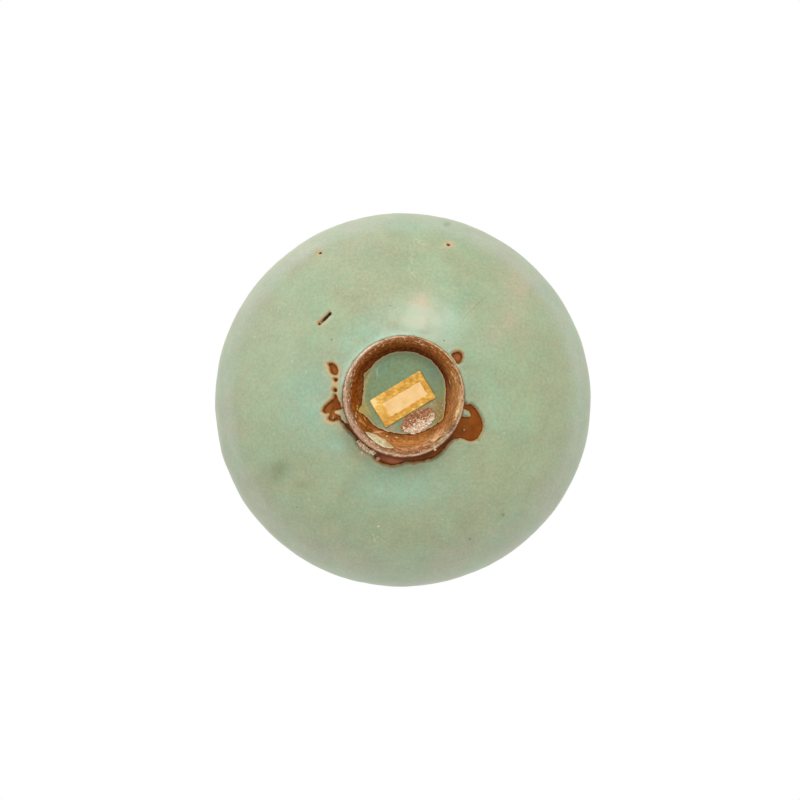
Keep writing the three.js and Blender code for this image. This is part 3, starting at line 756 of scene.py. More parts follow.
# %% Paint of the outer glaze
RUST = [
    (-21.5, 3.5, 3.5, 5.5, 0, 1.3), (-21.6, -8.8, 2.2, 4.0, -60, 1.3), (16.9, -13.6, 2.2, 1.6, 0, 0.9),
    (14.1, -48.0, 1.6, 1.2, 0, 0.8), (-25.9, -45.6, 1.6, 1.2, 0, 0.5), (-8.0, 20.6, 5, 1.5, 0, 0.6),
    (5.0, 20.2, 6, 1.2, 0, 0.5), (14, 15, 3, 2, 0, 0.3), (-24.2, -24.4, 3, 1.2, -42, 0.3),
    (-20.8, -3.8, 1.6, 1.0, 85, 1.2),
]  # where iron stained the glaze's edge: x, y, reaches, turn and strength
OUTER_DABS_AND_LIGHT = [
    # painted light: the first dab lightens the glaze towards -x and -y, the side the light falls from
    (-38, -20, 26, 30, 0, "#aeb594", 0.5),
    (-20, -44, 24, 12, -25, "#b6bc9e", 0.45),
    (-20.0, 4.7, 1.1, 0.9, 20, "#e6dcbc", 0.9),
    (-36, 2, 12, 20, 0, "#9cb890", 0.35),
    (34, 12, 12, 18, 20, "#a8b488", 0.4),
    (4, 44, 22, 8, 0, "#a4aa84", 0.5),
    (-22, 36, 12, 8, 30, "#9fb08a", 0.4),
    (-28.9, 1.5, 8, 11, 0, "#9cc4ae", 0.7),
    (-1.0, 28.2, 13, 5.5, 0, "#9ac2ac", 0.7),
    (-13.4, -17.6, 9, 5, -45, "#a4d0b6", 0.65),
    (-21.0, 15.2, 3.0, 2.6, 0, "#a0ccb8", 0.6),
    (25.8, 0.9, 5, 8, 0, "#a4c0a2", 0.5),
    (8.0, -24.0, 9, 5, 0, "#c8d2ba", 0.55),
    (14.6, -22.5, 3.0, 4.0, 20, "#a4cdb6", 0.6),
    (5.3, -29.6, 2.6, 2.4, 0, "#dcb294", 0.75),
    (4.5, -23.5, 3.6, 1.5, 0, "#dccfb0", 0.7),
    (17.6, -30.5, 6, 2.4, -40, "#86b08c", 0.6),
    (17.0, -20.6, 2.6, 1.6, -50, "#92b896", 0.5),
    (20.8, -11.8, 2.2, 1.4, -40, "#90b492", 0.5),
    (36.7, -34.6, 5.5, 6.5, 0, "#c2b496", 0.75),
    (32.4, -24.8, 4.5, 5, 0, "#c2b494", 0.65),
    (26.6, -18.6, 3.6, 4, 0, "#c8b898", 0.65),
    (7.2, -46.2, 3.2, 3, 0, "#bcb896", 0.45),
    (7.7, -39.2, 3, 2.6, 0, "#bcba98", 0.4),
    (1.0, -54.0, 5, 2.2, 0, "#8cba9e", 0.5),
    (20.0, -47.0, 9, 4, 35, "#98b48c", 0.5),
    (-16.6, -49.8, 7, 4, -20, "#bab496", 0.5),
    (-38.6, 22.4, 3.0, 3.4, 20, "#6e7c54", 0.6),
    (-31.6, 27.2, 2.4, 1.2, 20, "#848c64", 0.5),
    (5.7, -19.9, 2.0, 0.8, 10, "#8c8462", 0.7),
    (14.3, -48.2, 1.9, 1.1, 5, "#e2b890", 0.8),
    (-27.2, -45.9, 1.6, 0.8, 0, "#b09c5c", 0.7),
    (-12.6, 17.4, 2.4, 1.0, 35, "#c8ae80", 0.75),
    (31.0, 36.4, 1.6, 1.4, 0, "#8c8a58", 0.5),
    (-19.2, -2.4, 0.8, 3.4, 8, "#b0ae8c", 0.6),
    (-21.1, -3.7, 1.1, 2.8, 0, "#d6b886", 0.85),
    (-22.7, -8.6, 1.8, 2.4, -30, "#ccb88e", 0.5),
    (-23.5, 6.3, 2.2, 1.5, 30, "#d8c298", 0.7),
    (-20.0, 9.4, 2.6, 0.9, 45, "#cdb98c", 0.6),
    (-18.9, 6.4, 1.4, 1.0, 60, "#cfc098", 0.7),
]
OUTER_BELLS_AND_PAINTED_LIGHT = [
    # a pale grey ring all round near the belly: painted reflection of the white surroundings
    (0, 55.8, 1e3, 2.6, "#bcc2b4", 0.5),
    # a cream band right against the foot: painted light over the shade of the corner; the three bluer
    # bells after it are pale glaze, lifted by painted light too
    (262, 18.5, 75, 0.5, "#fff0d8", 0.95),
    (245, 19.2, 50, 1.6, "#c4ecd2", 0.7),
    (200, 19.2, 12, 1.2, "#c4dcc4", 0.6),
    (335, 19.2, 24, 1.2, "#c0d2b4", 0.6),
    (315, 18.7, 35, 0.4, "#ecd0b0", 0.85),
    (88, 21.6, 24, 1.1, "#8c8a5e", 0.6),
    (35, 25.6, 12, 0.9, "#98986c", 0.45),
    (95, 52.5, 50, 6.0, "#b4b69c", 0.6),
    (60, 54, 30, 4.0, "#b4b69c", 0.4),
]  # paler, bluer glaze against the foot, where it is thick and where painted light lifts the corner's shade; a pale ring of painted reflection near the belly; and greyer glaze near the belly
print("dabs and bells on the outer glaze:", len(OUTER_DABS_AND_LIGHT), len(OUTER_BELLS_AND_PAINTED_LIGHT))

# %% Outer glaze
BED, BED_ROWS = 0.4, 12  # depth of a coat's hidden side in the clay, and its rows on this coat


def shell(rows, lift, azimuth, hidden=slice(None, None, -1)):
    """Closed rows of a coat on rows of (radius, height, normal r, normal z): its outer side, lifted
    along the normal, and the rows picked for its hidden side, sunk in the clay."""
    radius, height, out_r, out_z = (row[:, None] for row in rows)
    surface = around(radius + out_r * lift, height + out_z * lift, azimuth)
    bed = around((radius - BED * out_r)[hidden], (height - BED * out_z)[hidden], azimuth)
    return np.concatenate([surface, bed])


def outer_thickness(u):
    """Off the clay: thinner in proportion to height from foot to belly, and on to the lip's band."""
    _, height, _, _ = wall(OUTER_WALL, u)
    knots = [UNDERSIDE, BELLY, BAND]
    return np.interp(height, knots, [GLAZE_AT_FOOT, GLAZE_AT_BELLY, GLAZE_AT_BAND])


def coat_edge(distance, thickness):
    """Height of the coat at a distance from bare clay: t (1 - exp(-d / roll)) with a low bead just
    behind the edge; on bare clay it dives in a straight line, at the slope it had, and levels off."""
    away = np.maximum(distance, 0)
    bead = 1 + 0.16 * np.exp(-(((away - 0.95) / 0.5) ** 2))
    raised = thickness * (1 - np.exp(-away / ROLL)) * bead
    sunk = np.maximum(distance * thickness / ROLL, -SUNK)
    return np.where(distance > 0, raised, sunk)


def outer_glaze():
    """The coat from the foot to the lip's band, open at every outline of bare clay; near the belly
    it is held inside the frame's box."""
    azimuth = np.radians(COLUMNS_IN_DEGREES)
    start = u_at_radius(OUTER_WALL, 56.5)
    u = np.concatenate([
        u_at_radius(OUTER_WALL, RADII_UNDER), steps((start, 1, 0.022), (1, u_at_height(BAND), 0.1))
    ])
    rows = wall(OUTER_WALL, u)
    clay = around(rows[0], rows[1], azimuth)
    ragged = 0.06 * ripple(clay, 1.9, 21) + 0.025 * ripple(clay, 0.8, 22)
    distance = edge_distance(clay) + 0.12
    distance += ragged * (from_axis(clay) < NEAR)
    swell = 0.05 * ripple(clay, 14, 23) + 0.02 * ripple(clay, 5, 24)
    swell *= smooth_step(0, 2.5, distance) * smooth_step(2, 1, u)[:, None]
    full = outer_thickness(u)[:, None] * np.ones(len(azimuth))
    lift = coat_edge(distance, full) + swell
    lift = np.minimum(lift, GLAZE_RADIUS - BODY_RADIUS + 40 * smooth_step(1, 0.5, u)[:, None])
    hidden = np.linspace(len(u) - 1, 0, BED_ROWS).round().astype(int)
    grid = out_of_round(shell(rows, lift, azimuth, hidden))
    edge = np.concatenate([distance, distance[hidden]])
    rust = sum(strength * dab(grid, *place) for *place, strength in RUST)
    tint = ring_painted(grid, painted(grid, "#a3ad88", OUTER_DABS_AND_LIGHT), OUTER_BELLS_AND_PAINTED_LIGHT)
    looks = {"edge": edge, "rust": rust, "tint": tint}
    return grid_piece("outer_glaze_coat", grid, "outer_glaze", looks, nodes=["outer_glaze"])


outer_coat = outer_glaze()

# %% [markdown]
# The lip's coat is the same glaze run thin over the rounding, and the coat inside pools at the
# bottom. Each ends where the coat beside it begins and is about as thick there, so that no seam
# shows between them.

# %% Lip glaze and inner glaze
LIP_COAT = 0.5  # thickness over the lip
COLUMNS = 256
POOL, INNER_AT_BELLY = 1.75, 0.85  # thickness at the bottom of the bowl and at the belly
THROWN_RING = 6.5  # the potter's fingers left a shallow spiral; this far apart are its turns


def lip_glaze():
    """Up the outer wall's band, over the lip on the ellipse's own normals, and down inside."""
    azimuth = all_round(COLUMNS)
    band = u_at_height(steps((BAND, LIP_START, 0.4)))
    outer_rows = np.array(wall(OUTER_WALL, band))
    inner_rows = np.array(wall(INNER_WALL, band[::-1]))
    inner_rows[2:] *= -1
    arc_r, arc_z = lip_arc(17)
    middle = BODY_RADIUS - LIP_LEAN - LIP_WALL / 2
    normal = np.array([
        (arc_r - middle) / (LIP_WALL / 2) ** 2, (arc_z - LIP_START) / (BODY_TOP - LIP_START) ** 2
    ])
    normal /= np.hypot(*normal)
    rows = np.concatenate([outer_rows, np.array([arc_r, arc_z, *normal]), inner_rows], axis=1)
    flat = around(rows[0], rows[1], azimuth)
    lift = LIP_COAT + 0.03 * ripple(flat, 9, 31) * np.sin(np.linspace(0, np.pi, len(flat)))[:, None]
    lift = np.minimum(lift, LIP_COAT)
    return grid_piece("lip_glaze_coat", out_of_round(shell(rows, lift, azimuth)), "lip_glaze",
                      nodes=["lip_glaze"])


def inner_glaze():
    """Thick at the bottom and thinner up the wall, with the spiral of the potter's fingers."""
    azimuth = all_round(COLUMNS)
    u = np.concatenate([steps((0.02, 1, 0.011)), steps((1, u_at_height(BAND), 0.1))[1:]])
    rows = np.array(wall(INNER_WALL, u))
    rows[2:] *= -1
    knots = [FLOOR_INSIDE, BELLY, BAND]
    thickness = np.interp(rows[1], knots, [POOL, INNER_AT_BELLY, LIP_COAT])
    flat = around(rows[0], rows[1], azimuth)
    level = smooth_step(u_at_height(BAND), 0.8, u)[:, None]
    rings = 0.05 * np.sin(TURN * rows[0][:, None] / THROWN_RING + azimuth)
    waves = 0.05 * ripple(flat, 12, 32) + 0.02 * ripple(flat, 4, 33) + rings
    grid = out_of_round(shell(rows, thickness[:, None] + waves * level, azimuth))
    poles = [(0, 0, FLOOR_INSIDE + POOL), (0, 0, FLOOR_INSIDE - BED)]
    return grid_piece("inner_glaze_coat", grid, "inner_glaze", poles=poles, nodes=["inner_glaze"])


lip_coat, inner_coat = lip_glaze(), inner_glaze()

# %% [markdown]
# ## Washes on the foot
#
# The potter brushed a thin iron dressing on both walls of the foot and wiped the rest face clean.
# Each wash is a very thin shell that tapers out at its ragged lower edge.

# %% Iron washes
POOL_EDGE = [
    (0, 12.9), (10, 13.1), (20, 13.4), (29, 13.8), (37, 13.3), (45, 12.7), (52, 12.3), (60, 12.1),
    (75, 11.6), (90, 11.3), (105, 11.4), (120, 11.8), (130, 12.3), (140, 12.65), (150, 12.9),
    (156, 13.4), (159, 14.0), (162.5, 14.5), (166, 13.9), (170, 13.1), (175, 12.8), (186, 12.5),
    (196, 12.7), (203, 13.3), (209.5, 14.1), (214, 13.8), (222, 13.6), (232, 13.75), (245, 14.0),
    (265, 14.0), (285, 14.05), (305, 14.0), (320, 14.0), (333, 13.7), (345, 13.3),
]  # azimuth and radius of the edge of the glaze in the well
WASH_THICK, WASH_BED = 0.25, 0.1  # off the clay, and into it
WASH_STOP = 0.75  # height of a wash's lower edge
WASH_COLUMNS = 600
WALL_MEETS = 8.2  # height where the foot's outer wall meets the underside
OUTER_WASH_TOP = 8.35


def pool_radius(azimuth):
    """Radius of the pool's edge at an azimuth, on the smooth closed curve through its points."""
    degrees, radius = np.array(POOL_EDGE).T
    curve = closed_curve(at_azimuth(radius, np.radians(degrees)))
    return np.interp(azimuth, azimuth_of(curve), from_axis(curve), period=TURN)


def past_pool(grid):
    """How far a point lies outside the pool's edge, measured away from the axis."""
    return from_axis(grid) - pool_radius(azimuth_of(grid))


def ragged_stop(azimuth, seed):
    """Height of a wash's lower edge round the foot."""
    ring = at_height(at_azimuth(FOOT_WALL, azimuth))
    return WASH_STOP + 0.16 * ripple(ring, 5, seed) + 0.09 * ripple(ring, 1.3, seed + 1)


def wash(name, clay_radius, side, top, seed, node):
    """A shell on a foot wall: side +1 lies outside it and -1 inside; thickness rises from nothing at
    the ragged stop as a quarter ellipse."""
    azimuth = all_round(WASH_COLUMNS)
    stop = ragged_stop(azimuth, seed)
    share = steps((0, 0.1, 0.02), (0.1, 1, 0.03))[:, None]
    height = stop + (top - stop) * share
    rise = np.sqrt(1 - (1 - np.clip((height - stop) / 0.5, 0, 1)) ** 2)
    flat = around(clay_radius(height), height, azimuth)
    lift = WASH_THICK * (1 if side < 0 else 0.5) * rise * (1 + 0.1 * ripple(flat, 1.4, seed + 2))
    lift = lift - 0.02 * (share == 0)
    surface = around(clay_radius(height) + side * lift, height, azimuth)
    bed = around(clay_radius(height[::-1]) - side * WASH_BED, height[::-1], azimuth)
    grid = np.concatenate([surface, bed])
    looks = {"turning": turning(grid)}
    if side < 0:
        grid = lean_into_well(grid)
        looks["pool"] = past_pool(grid)
    looks["tint"] = foot_tint(grid)
    return grid_piece(name, grid, "iron_wash", looks, nodes=[node])


def outer_wall_radius(height):
    """Radius of the foot's outer wall, which widens evenly with the height."""
    return FOOT_WALL + (FOOT_WALL_TOP - FOOT_WALL) * height / WALL_MEETS


outer_wash = wash("foot_wash_outside", outer_wall_radius, 1, OUTER_WASH_TOP, 41, "foot_wash_outer")
inner_wash = wash("foot_wash_inside", well_radius, -1, WELL_DEPTH + 0.2, 45, "foot_wash_inner")

# %% [markdown]
# ## Glaze inside the foot
#
# A pool of thin glaze covers the well. Its edge wanders: in places it stops short of the sloping
# wall, and in others it climbs it, most of all in one tongue. The splash is a drop that ran along
# the wall and froze as a leaf shape.

# %% Paint of the well
WELL_DABS = [
    (-11.6, 4.3, 2.2, 2.2, 0, "#a08c48", 0.85),
    (-13.4, 4.8, 2.4, 1.7, -20, "#d0ae4c", 1.0),
    (-14.4, 4.0, 0.6, 0.3, 70, "#e4d09c", 0.8),
    (-13.6, 5.4, 0.25, 1.0, 30, "#7c5c1c", 0.7),
    (-12.2, -6.8, 1.6, 1.0, 30, "#a88c4c", 0.9),
    (-9.2, -9.6, 2.4, 0.7, -45, "#a08a64", 0.6),
    (11.4, 6.4, 2.6, 3.4, -30, "#9c7a34", 1.0),
    (11.2, 2.4, 1.8, 2.4, 0, "#8e6e28", 0.95),
    (8.8, 2.8, 2.4, 1.6, -30, "#a89060", 0.75),
    (12.2, -3.4, 1.5, 4.2, 10, "#7c8c4c", 0.7),
    (9.0, -6.5, 3.0, 3.4, 0, "#76836a", 0.75),
    (8.4, -8.8, 2.0, 1.4, 30, "#6a8e70", 0.65),
    (5.5, -11.0, 3.0, 1.4, 0, "#7a8c62", 0.5),
    (-6.0, -9.0, 3.4, 2.0, -30, "#709474", 0.65),
    (-10.6, -2.0, 1.6, 4.0, 0, "#7f9260", 0.6),
    (-2.0, -6.0, 4.0, 1.8, -20, "#729068", 0.45),
    (6.0, -1.6, 3.0, 1.6, -30, "#8a8a5c", 0.5),
    (-6.0, 9.8, 3.0, 1.4, 30, "#98987a", 0.6),
    (-3.6, 9.8, 1.8, 1.4, 0, "#b09c80", 0.75),
    (-8.1, -7.4, 0.14, 1.3, 0, "#d8e0cc", 0.9),
    (-8.3, 0.2, 0.5, 0.25, -50, "#c8b468", 0.8),
]
WELL_BELLS = [
    (178, 12.3, 34, 0.5, "#bcac6c", 0.85),
    (208, 13.7, 9, 0.7, "#a48c4c", 0.85),
    (30, 13.2, 24, 0.7, "#a08444", 0.85),
    (60, 12.0, 14, 0.4, "#c8b080", 0.6),
    (95, 11.2, 25, 0.3, "#a4946c", 0.6),
]
print("dabs and bells in the well:", len(WELL_DABS), len(WELL_BELLS))


# %% The wall of the well
def wall_height(plan):
    """Height of the dressed well's wall over a plan point p. The wall's radius falls with the height
    h, and its axis moves sideways with it, so |p - shift h / depth| = foot - slope h, which twenty
    rounds of putting the last h back in solve closely enough."""
    height = np.zeros(plan.shape[:-1])
    slope = (REST_INNER - WELL_FLOOR) / WELL_DEPTH
    for _ in range(20):
        away = plan - WELL_SHIFT * height[..., None] / WELL_DEPTH
        height = (REST_INNER - WASH_THICK - from_axis(away)) / slope
    return height


def off_well_wall(plan, off):
    """Points over the plan at a distance off the wall; down, that is the distance / sin slant."""
    slant = np.arctan2(REST_INNER - WELL_FLOOR, WELL_DEPTH)
    return at_height(plan, wall_height(plan) - off / np.sin(slant))


print("dressed wall's height over the clay floor's edge:",
      wall_height(WELL_SHIFT + (WELL_FLOOR, 0)).round(2))

# %% Well glaze
POOL_COLUMNS = 400
FILM = 0.1  # thickness of the glaze where it climbs the wall


def well_glaze():
    """Rings of the pool's outline scaled by q. The surface is level in the well and follows its
    wall where the glaze climbs; a soft minimum, -k log(exp(-a / k) + exp(-b / k)), rounds between."""
    azimuth = all_round(POOL_COLUMNS)
    ring = at_height(at_azimuth(WELL_FLOOR, azimuth))
    edge = pool_radius(azimuth) + 0.05 * ripple(ring, 3, 51) + 0.04 * ripple(ring, 1.1, 52)
    outline = edge[:, None] * ring[:, :2] / WELL_FLOOR - WELL_SHIFT
    q = steps((0.03, 0.85, 0.03), (0.85, 1, 0.0075))[:, None]
    plan = WELL_SHIFT + outline * q[..., None]
    film = FILM * np.sqrt(1 - q**30) - 0.02
    on_wall = off_well_wall(plan, film)[..., 2]
    soft = 0.1
    height = WELL_DEPTH - soft * np.log1p(np.exp((WELL_DEPTH - on_wall) / soft))
    flat = at_height(plan)
    dips = 0.035 * ripple(flat, 6, 53) + 0.012 * ripple(flat, 1.8, 54)
    height += dips * smooth_step(1, 0.8, q)
    hidden = slice(None, None, -4)
    bed_height = np.minimum(wall_height(plan[hidden]) + 0.3, WELL_CEILING)
    grid = np.concatenate([at_height(plan, height), at_height(plan[hidden], bed_height)])
    rim = np.concatenate([q, q[hidden]]) * np.ones(POOL_COLUMNS)
    poles = [(*WELL_SHIFT, WELL_DEPTH), (*WELL_SHIFT, WELL_CEILING)]
    looks = {"rim": rim, "tint": ring_painted(grid, painted(grid, "#7e9266", WELL_DABS), WELL_BELLS)}
    return grid_piece("foot_well_pool", grid, "well_glaze", looks, poles, ["foot_well_glaze"])


well_pool = well_glaze()

# %% Splash
SPLASH_AZIMUTH, SPLASH_SPREAD = 119.2, 18.4  # middle and half length in degrees
SPLASH_TIP, SPLASH_RISE, SPLASH_THICK = 16.0, 1.75, 0.28  # radius of its tips, width and thickness
LOWEST_GLAZE = 0.05  # glaze keeps this far above what the bowl stands on


def splash():
    """A leaf along the wall between two radii. Its outer edge bulges as 1 - |s|^2.5, more towards
    one tip, its inner edge as (1 - |s|^2.6)^0.9, and it is a low dome from edge to edge."""
    s = np.linspace(-1, 1, 91)[1:-1, None]
    section = all_round(40)
    azimuth = np.radians(SPLASH_AZIMUTH + SPLASH_SPREAD * s)
    outer = SPLASH_TIP + 0.8 * (1 - np.abs(s) ** 2.5) * (0.7 - 0.45 * s) + 0.03 * np.sin(11 * s)
    inner = SPLASH_TIP - SPLASH_RISE * (1 - np.abs(s) ** 2.6) ** 0.9 + 0.05 * np.sin(9 * s + 1)
    radius = outer + (inner - outer) * (0.5 - 0.5 * np.cos(section))
    plan = at_azimuth(radius, azimuth)
    dome = np.where(np.sin(section) > 0, SPLASH_THICK * np.abs(np.sin(section)) ** 0.6, -0.1)
    lift = dome * np.clip((1 - s**2) * 4, 0, 1) * (1 + 0.15 * ripple(at_height(plan), 1.6, 55))
    grid = off_well_wall(plan, lift)
    grid[..., 2] = np.maximum(grid[..., 2], np.where(dome > 0, LOWEST_GLAZE, 4 * LOWEST_GLAZE))
    tips = np.radians(SPLASH_AZIMUTH + SPLASH_SPREAD * np.array([-1, 1]))
    poles = off_well_wall(at_azimuth(SPLASH_TIP, tips), np.zeros(2))
    return grid_piece("foot_splash_leaf", grid, "pale_glaze", None, poles, ["foot_glaze_splash"])


splash_leaf = splash()

# %% [markdown]
# ## Kiln grit
#
# Sand from the saggar stuck to the glaze while it was molten. Each grain is a small lumpy ball; all
# grains of one patch are one array, copied from a single ball of a few dozen faces, turned, squeezed
# and scattered. Under the grains of the well lies the low mound of the scar itself.

# %% Grains
GRAIN_ROWS, GRAIN_COLUMNS = 5, 8
GRAIN_POINTS = GRAIN_ROWS * GRAIN_COLUMNS + 2  # its two poles included


def grains(centres, sizes, seed):
    """Points and faces of lumpy balls: unit directions on a small grid, scaled by the grain's size
    times a random squeeze on each axis and a random lump at each point. A turn that mirrors the
    ball also turns the order of its corners round."""
    rng = np.random.default_rng(seed)
    polar = np.linspace(0, np.pi, GRAIN_ROWS + 2)[1:-1, None]
    ball = at_height(at_azimuth(np.sin(polar), all_round(GRAIN_COLUMNS)), np.cos(polar))
    ball = np.concatenate([ball.reshape(-1, 3), [(0, 0, 1), (0, 0, -1)]])
    quads, triangles = grid_faces(GRAIN_ROWS, GRAIN_COLUMNS, False)
    count = len(centres)
    turns, _ = np.linalg.qr(rng.normal(size=(count, 3, 3)))
    mirrored = (np.linalg.det(turns) < 0)[:, None, None]
    squeeze = rng.uniform(0.6, 1.15, (count, 1, 3))
    lumps = rng.uniform(0.82, 1.12, (count, len(ball), 1))
    points = np.einsum("nij,npj->npi", turns, ball * squeeze * lumps) * sizes[:, None, None]
    points = (points + centres[:, None]).reshape(-1, 3)
    shift = (np.arange(count) * GRAIN_POINTS)[:, None, None]
    quads = np.where(mirrored, quads[None, :, ::-1], quads[None]) + shift
    triangles = np.where(mirrored, triangles[None, :, ::-1], triangles[None]) + shift
    return points, quads.reshape(-1, 4), triangles.reshape(-1, 3)


def joined(first, second):
    """Two meshes in one, each given as its points, quads and triangles."""
    shifts = (0, len(first[0]), len(first[0]))
    return [np.concatenate([a, b + shift]) for a, b, shift in zip(first, second, shifts)]


print("points in a grain:", GRAIN_POINTS)

# %% Scar in the well
SCAR = (4.3, 7.3)  # its middle
SCAR_HALF_WIDTH, SCAR_HEIGHT = 2.7, 0.75
SCAR_TURN = -27  # degrees
SCAR_GRAINS = 620  # as many are strewn, and some are taken away again
SCAR_OUTLINE = [
    (-1.0, 8.7), (-0.1, 7.3), (0.8, 6.1), (2.5, 5.0), (4.6, 3.7), (6.9, 3.3), (8.3, 3.2),
    (9.1, 3.9), (9.5, 5.0), (9.4, 6.4), (8.4, 8.0), (6.7, 9.6), (4.6, 10.8), (2.8, 11.3),
    (1.3, 10.8), (-0.6, 10.2),
]
SCAR_EDGE = closed_curve(SCAR_OUTLINE) - SCAR
STRAY = [(9.9, 2.2), (10.6, 3.4), (11.2, 1.4), (10.4, 5.0), (11.5, 4.2), (9.4, 1.4), (11.9, 2.6),
         (8.6, 2.2), (10.1, 6.4), (11.0, 5.6)]  # single grains beside the scar


def across_scar(plan):
    """How far plan points, told from the scar's middle, lie across it: -1 and 1 at its sides."""
    return along_and_across(plan, 0, 0, SCAR_TURN)[1] / SCAR_HALF_WIDTH


def scar_mound():
    """A ragged mound that hangs from the well's glaze: rings of the outline scaled by q, with the
    depth h (1 - q^2)^0.7 and lumps on it."""
    q = steps((0.03, 1, 0.028))[:, None]
    outline = SCAR_EDGE * (1 + 0.04 * ripple(at_height(SCAR_EDGE), 1.2, 61))[:, None]
    plan = SCAR + outline * q[..., None]
    flat = at_height(plan)
    lumps = 0.85 + 0.22 * ripple(flat, 1.5, 63) + 0.22 * ripple(flat, 0.7, 64)
    depth = np.clip(SCAR_HEIGHT * (1 - q**2) ** 0.7 * lumps, 0, SCAR_HEIGHT)
    root, top = WELL_DEPTH + 0.05, WELL_DEPTH + 0.3
    grid = np.concatenate([at_height(plan, root - depth), at_height(plan[::-3], top)])
    quads, triangles = grid_faces(*grid.shape[:2], False)
    ends = [(*SCAR, root - SCAR_HEIGHT), (*SCAR, top)]
    points = np.concatenate([grid.reshape(-1, 3), ends])
    if volume_of(points, quads, triangles) < 0:
        quads, triangles = quads[:, ::-1], triangles[:, ::-1]
    return points, quads, triangles


def scar():
    """The mound with loose grains on it, more and paler towards its lower side."""
    rng = np.random.default_rng(65)
    mound = scar_mound()
    corner = rng.integers(0, len(SCAR_EDGE), SCAR_GRAINS)
    reach = np.sqrt(rng.uniform(0, 1.02, SCAR_GRAINS))
    plan = SCAR_EDGE[corner] * reach[:, None]
    across = across_scar(plan)
    kept = rng.uniform(0, 1, SCAR_GRAINS) < 0.3 + 0.8 * smooth_step(-0.6, 0.5, across)
    plan, reach, across = plan[kept], reach[kept], across[kept]
    count = len(plan)
    depth = SCAR_HEIGHT * np.clip(1 - reach**2, 0, 1) ** 0.7
    centres = np.concatenate([plan + SCAR, (WELL_DEPTH - 0.05 - 0.72 * depth)[:, None]], 1)
    sizes = rng.uniform(0.1, 0.3, count) * np.where(across > 0, 1.15, 0.7)
    stray = np.concatenate([STRAY, np.full((len(STRAY), 1), WELL_DEPTH - 0.02)], 1)
    sizes = np.append(sizes, rng.uniform(0.1, 0.2, len(stray)))
    loose = grains(np.concatenate([centres, stray]), sizes, 66)
    pale = np.clip(across * 0.5 + 0.62 + rng.normal(0, 0.25, count), 0, 1)
    pale = np.append(pale, np.ones(len(stray)))
    side = across_scar(mound[0][:, :2] - SCAR)
    drift = 0.15 + 0.26 * ripple(mound[0], 1.1, 69) + 0.8 * smooth_step(-0.15, 0.5, side)
    pale = np.concatenate([np.clip(drift, 0, 1), np.repeat(pale, GRAIN_POINTS)])
    return add_piece("kiln_grit_in_well", *joined(mound, loose), {"pale": pale},
                     ["kiln_grit_scar"], "kiln_grit")


scar_piece = scar()

# %% Crust beside the foot
CRUST_GRAINS = 420
CRUST_AZIMUTH, CRUST_SPREAD = 126.5, 9.5  # middle and half length in degrees
LUMPS = [
    (59.5, 18.75, 0.75, 0.5, 0.6), (112.5, 20.5, 8.0, 0.7, 0.45), (126.5, 21.2, 7.4, 0.36, 1.0),
    (120.5, 19.4, 7.3, 0.6, 0.8), (124.0, 19.9, 7.3, 0.5, 0.9), (128.0, 19.3, 7.1, 0.6, 0.7),
    (132.0, 19.7, 7.4, 0.55, 0.8), (135.0, 19.3, 7.4, 0.5, 0.6), (117.5, 19.3, 7.5, 0.5, 0.7),
]  # azimuth, radius, height, size and paleness of single lumps


def crust():
    """Grains packed along the foot's lower left side in the picture, where the glaze stands back
    from it, with single larger lumps."""
    rng = np.random.default_rng(67)
    count = CRUST_GRAINS
    share = rng.uniform(-1, 1, count)
    azimuth = np.radians(CRUST_AZIMUTH + CRUST_SPREAD * share)
    radius = FOOT_OUTSIDE + 0.05 + np.abs(rng.normal(0.4, 0.45, count)) * (1.2 - 0.3 * share)
    _, height, _, _ = wall(OUTER_WALL, u_at_radius(OUTER_WALL, radius))
    off = rng.uniform(0.1, 1.3, count) * smooth_step(2.2, 0.2, radius - FOOT_OUTSIDE)
    centres = at_height(at_azimuth(radius, azimuth), height - off)
    sizes = rng.uniform(0.12, 0.4, count) * np.where(rng.uniform(size=count) < 0.1, 1.5, 1)
    # the grains' paleness is partly their own cream and partly painted light against the shade by the
    # foot
    pale = np.clip(rng.normal(0.85, 0.3, count), 0, 1)
    lump_azimuth, lump_radius, lump_height, lump_size, lump_pale = np.array(LUMPS).T
    lumps = at_height(at_azimuth(lump_radius, np.radians(lump_azimuth)), lump_height)
    mesh = joined(grains(centres, sizes, 68), grains(lumps, lump_size, 70))
    pale = np.repeat(np.concatenate([pale, lump_pale]), GRAIN_POINTS)
    return add_piece("kiln_grit_by_foot", *mesh, {"pale": pale}, ["kiln_grit_crumbs"], "kiln_grit")


crust_piece = crust()

# %% [markdown]
# ## The paper label
#
# A small label is gummed into the well: dried gum, a sheet of cream paper whose edges have lifted a
# little, and a gilt frame printed thick enough to catch the light. Its middle is bare paper. The
# sheets are sections carried along the label, and the frame is a section carried round it.

# %% Label
LABEL_CENTRE = np.array([-0.25, 0.65])
LABEL_TURN = np.radians(-31)
LABEL_HALF = np.array([18.1, 9.7]) / 2
GILT_INSET = 0.04
PANEL_HALF, PANEL_OFFSET = np.array([6.6, 2.35]), np.array([0.6, 0.37])  # printed off the middle
GUM_PAST_PAPER, GUM_OFFSET = 0.1, np.array([0.05, 0.12])  # the gum reaches past the paper along two sides and shows there as a dark line
GUM_Z = span("label_gum")[0][2]
PAPER_Z = span("label_paper")[0][2]
GILT_Z = span("label_gilt_border")[0][2]
SHEET_POINTS = 22  # across each face of a sheet
FRAME_POINTS = 22  # across the face of the gilt frame


def turned_plan(along, across, centre, angle):
    """Plan points from distances along and across a line turned by an angle about a centre."""
    x = centre[0] + along * np.cos(angle) - across * np.sin(angle)
    y = centre[1] + along * np.sin(angle) + across * np.cos(angle)
    return np.stack([x, y], -1)


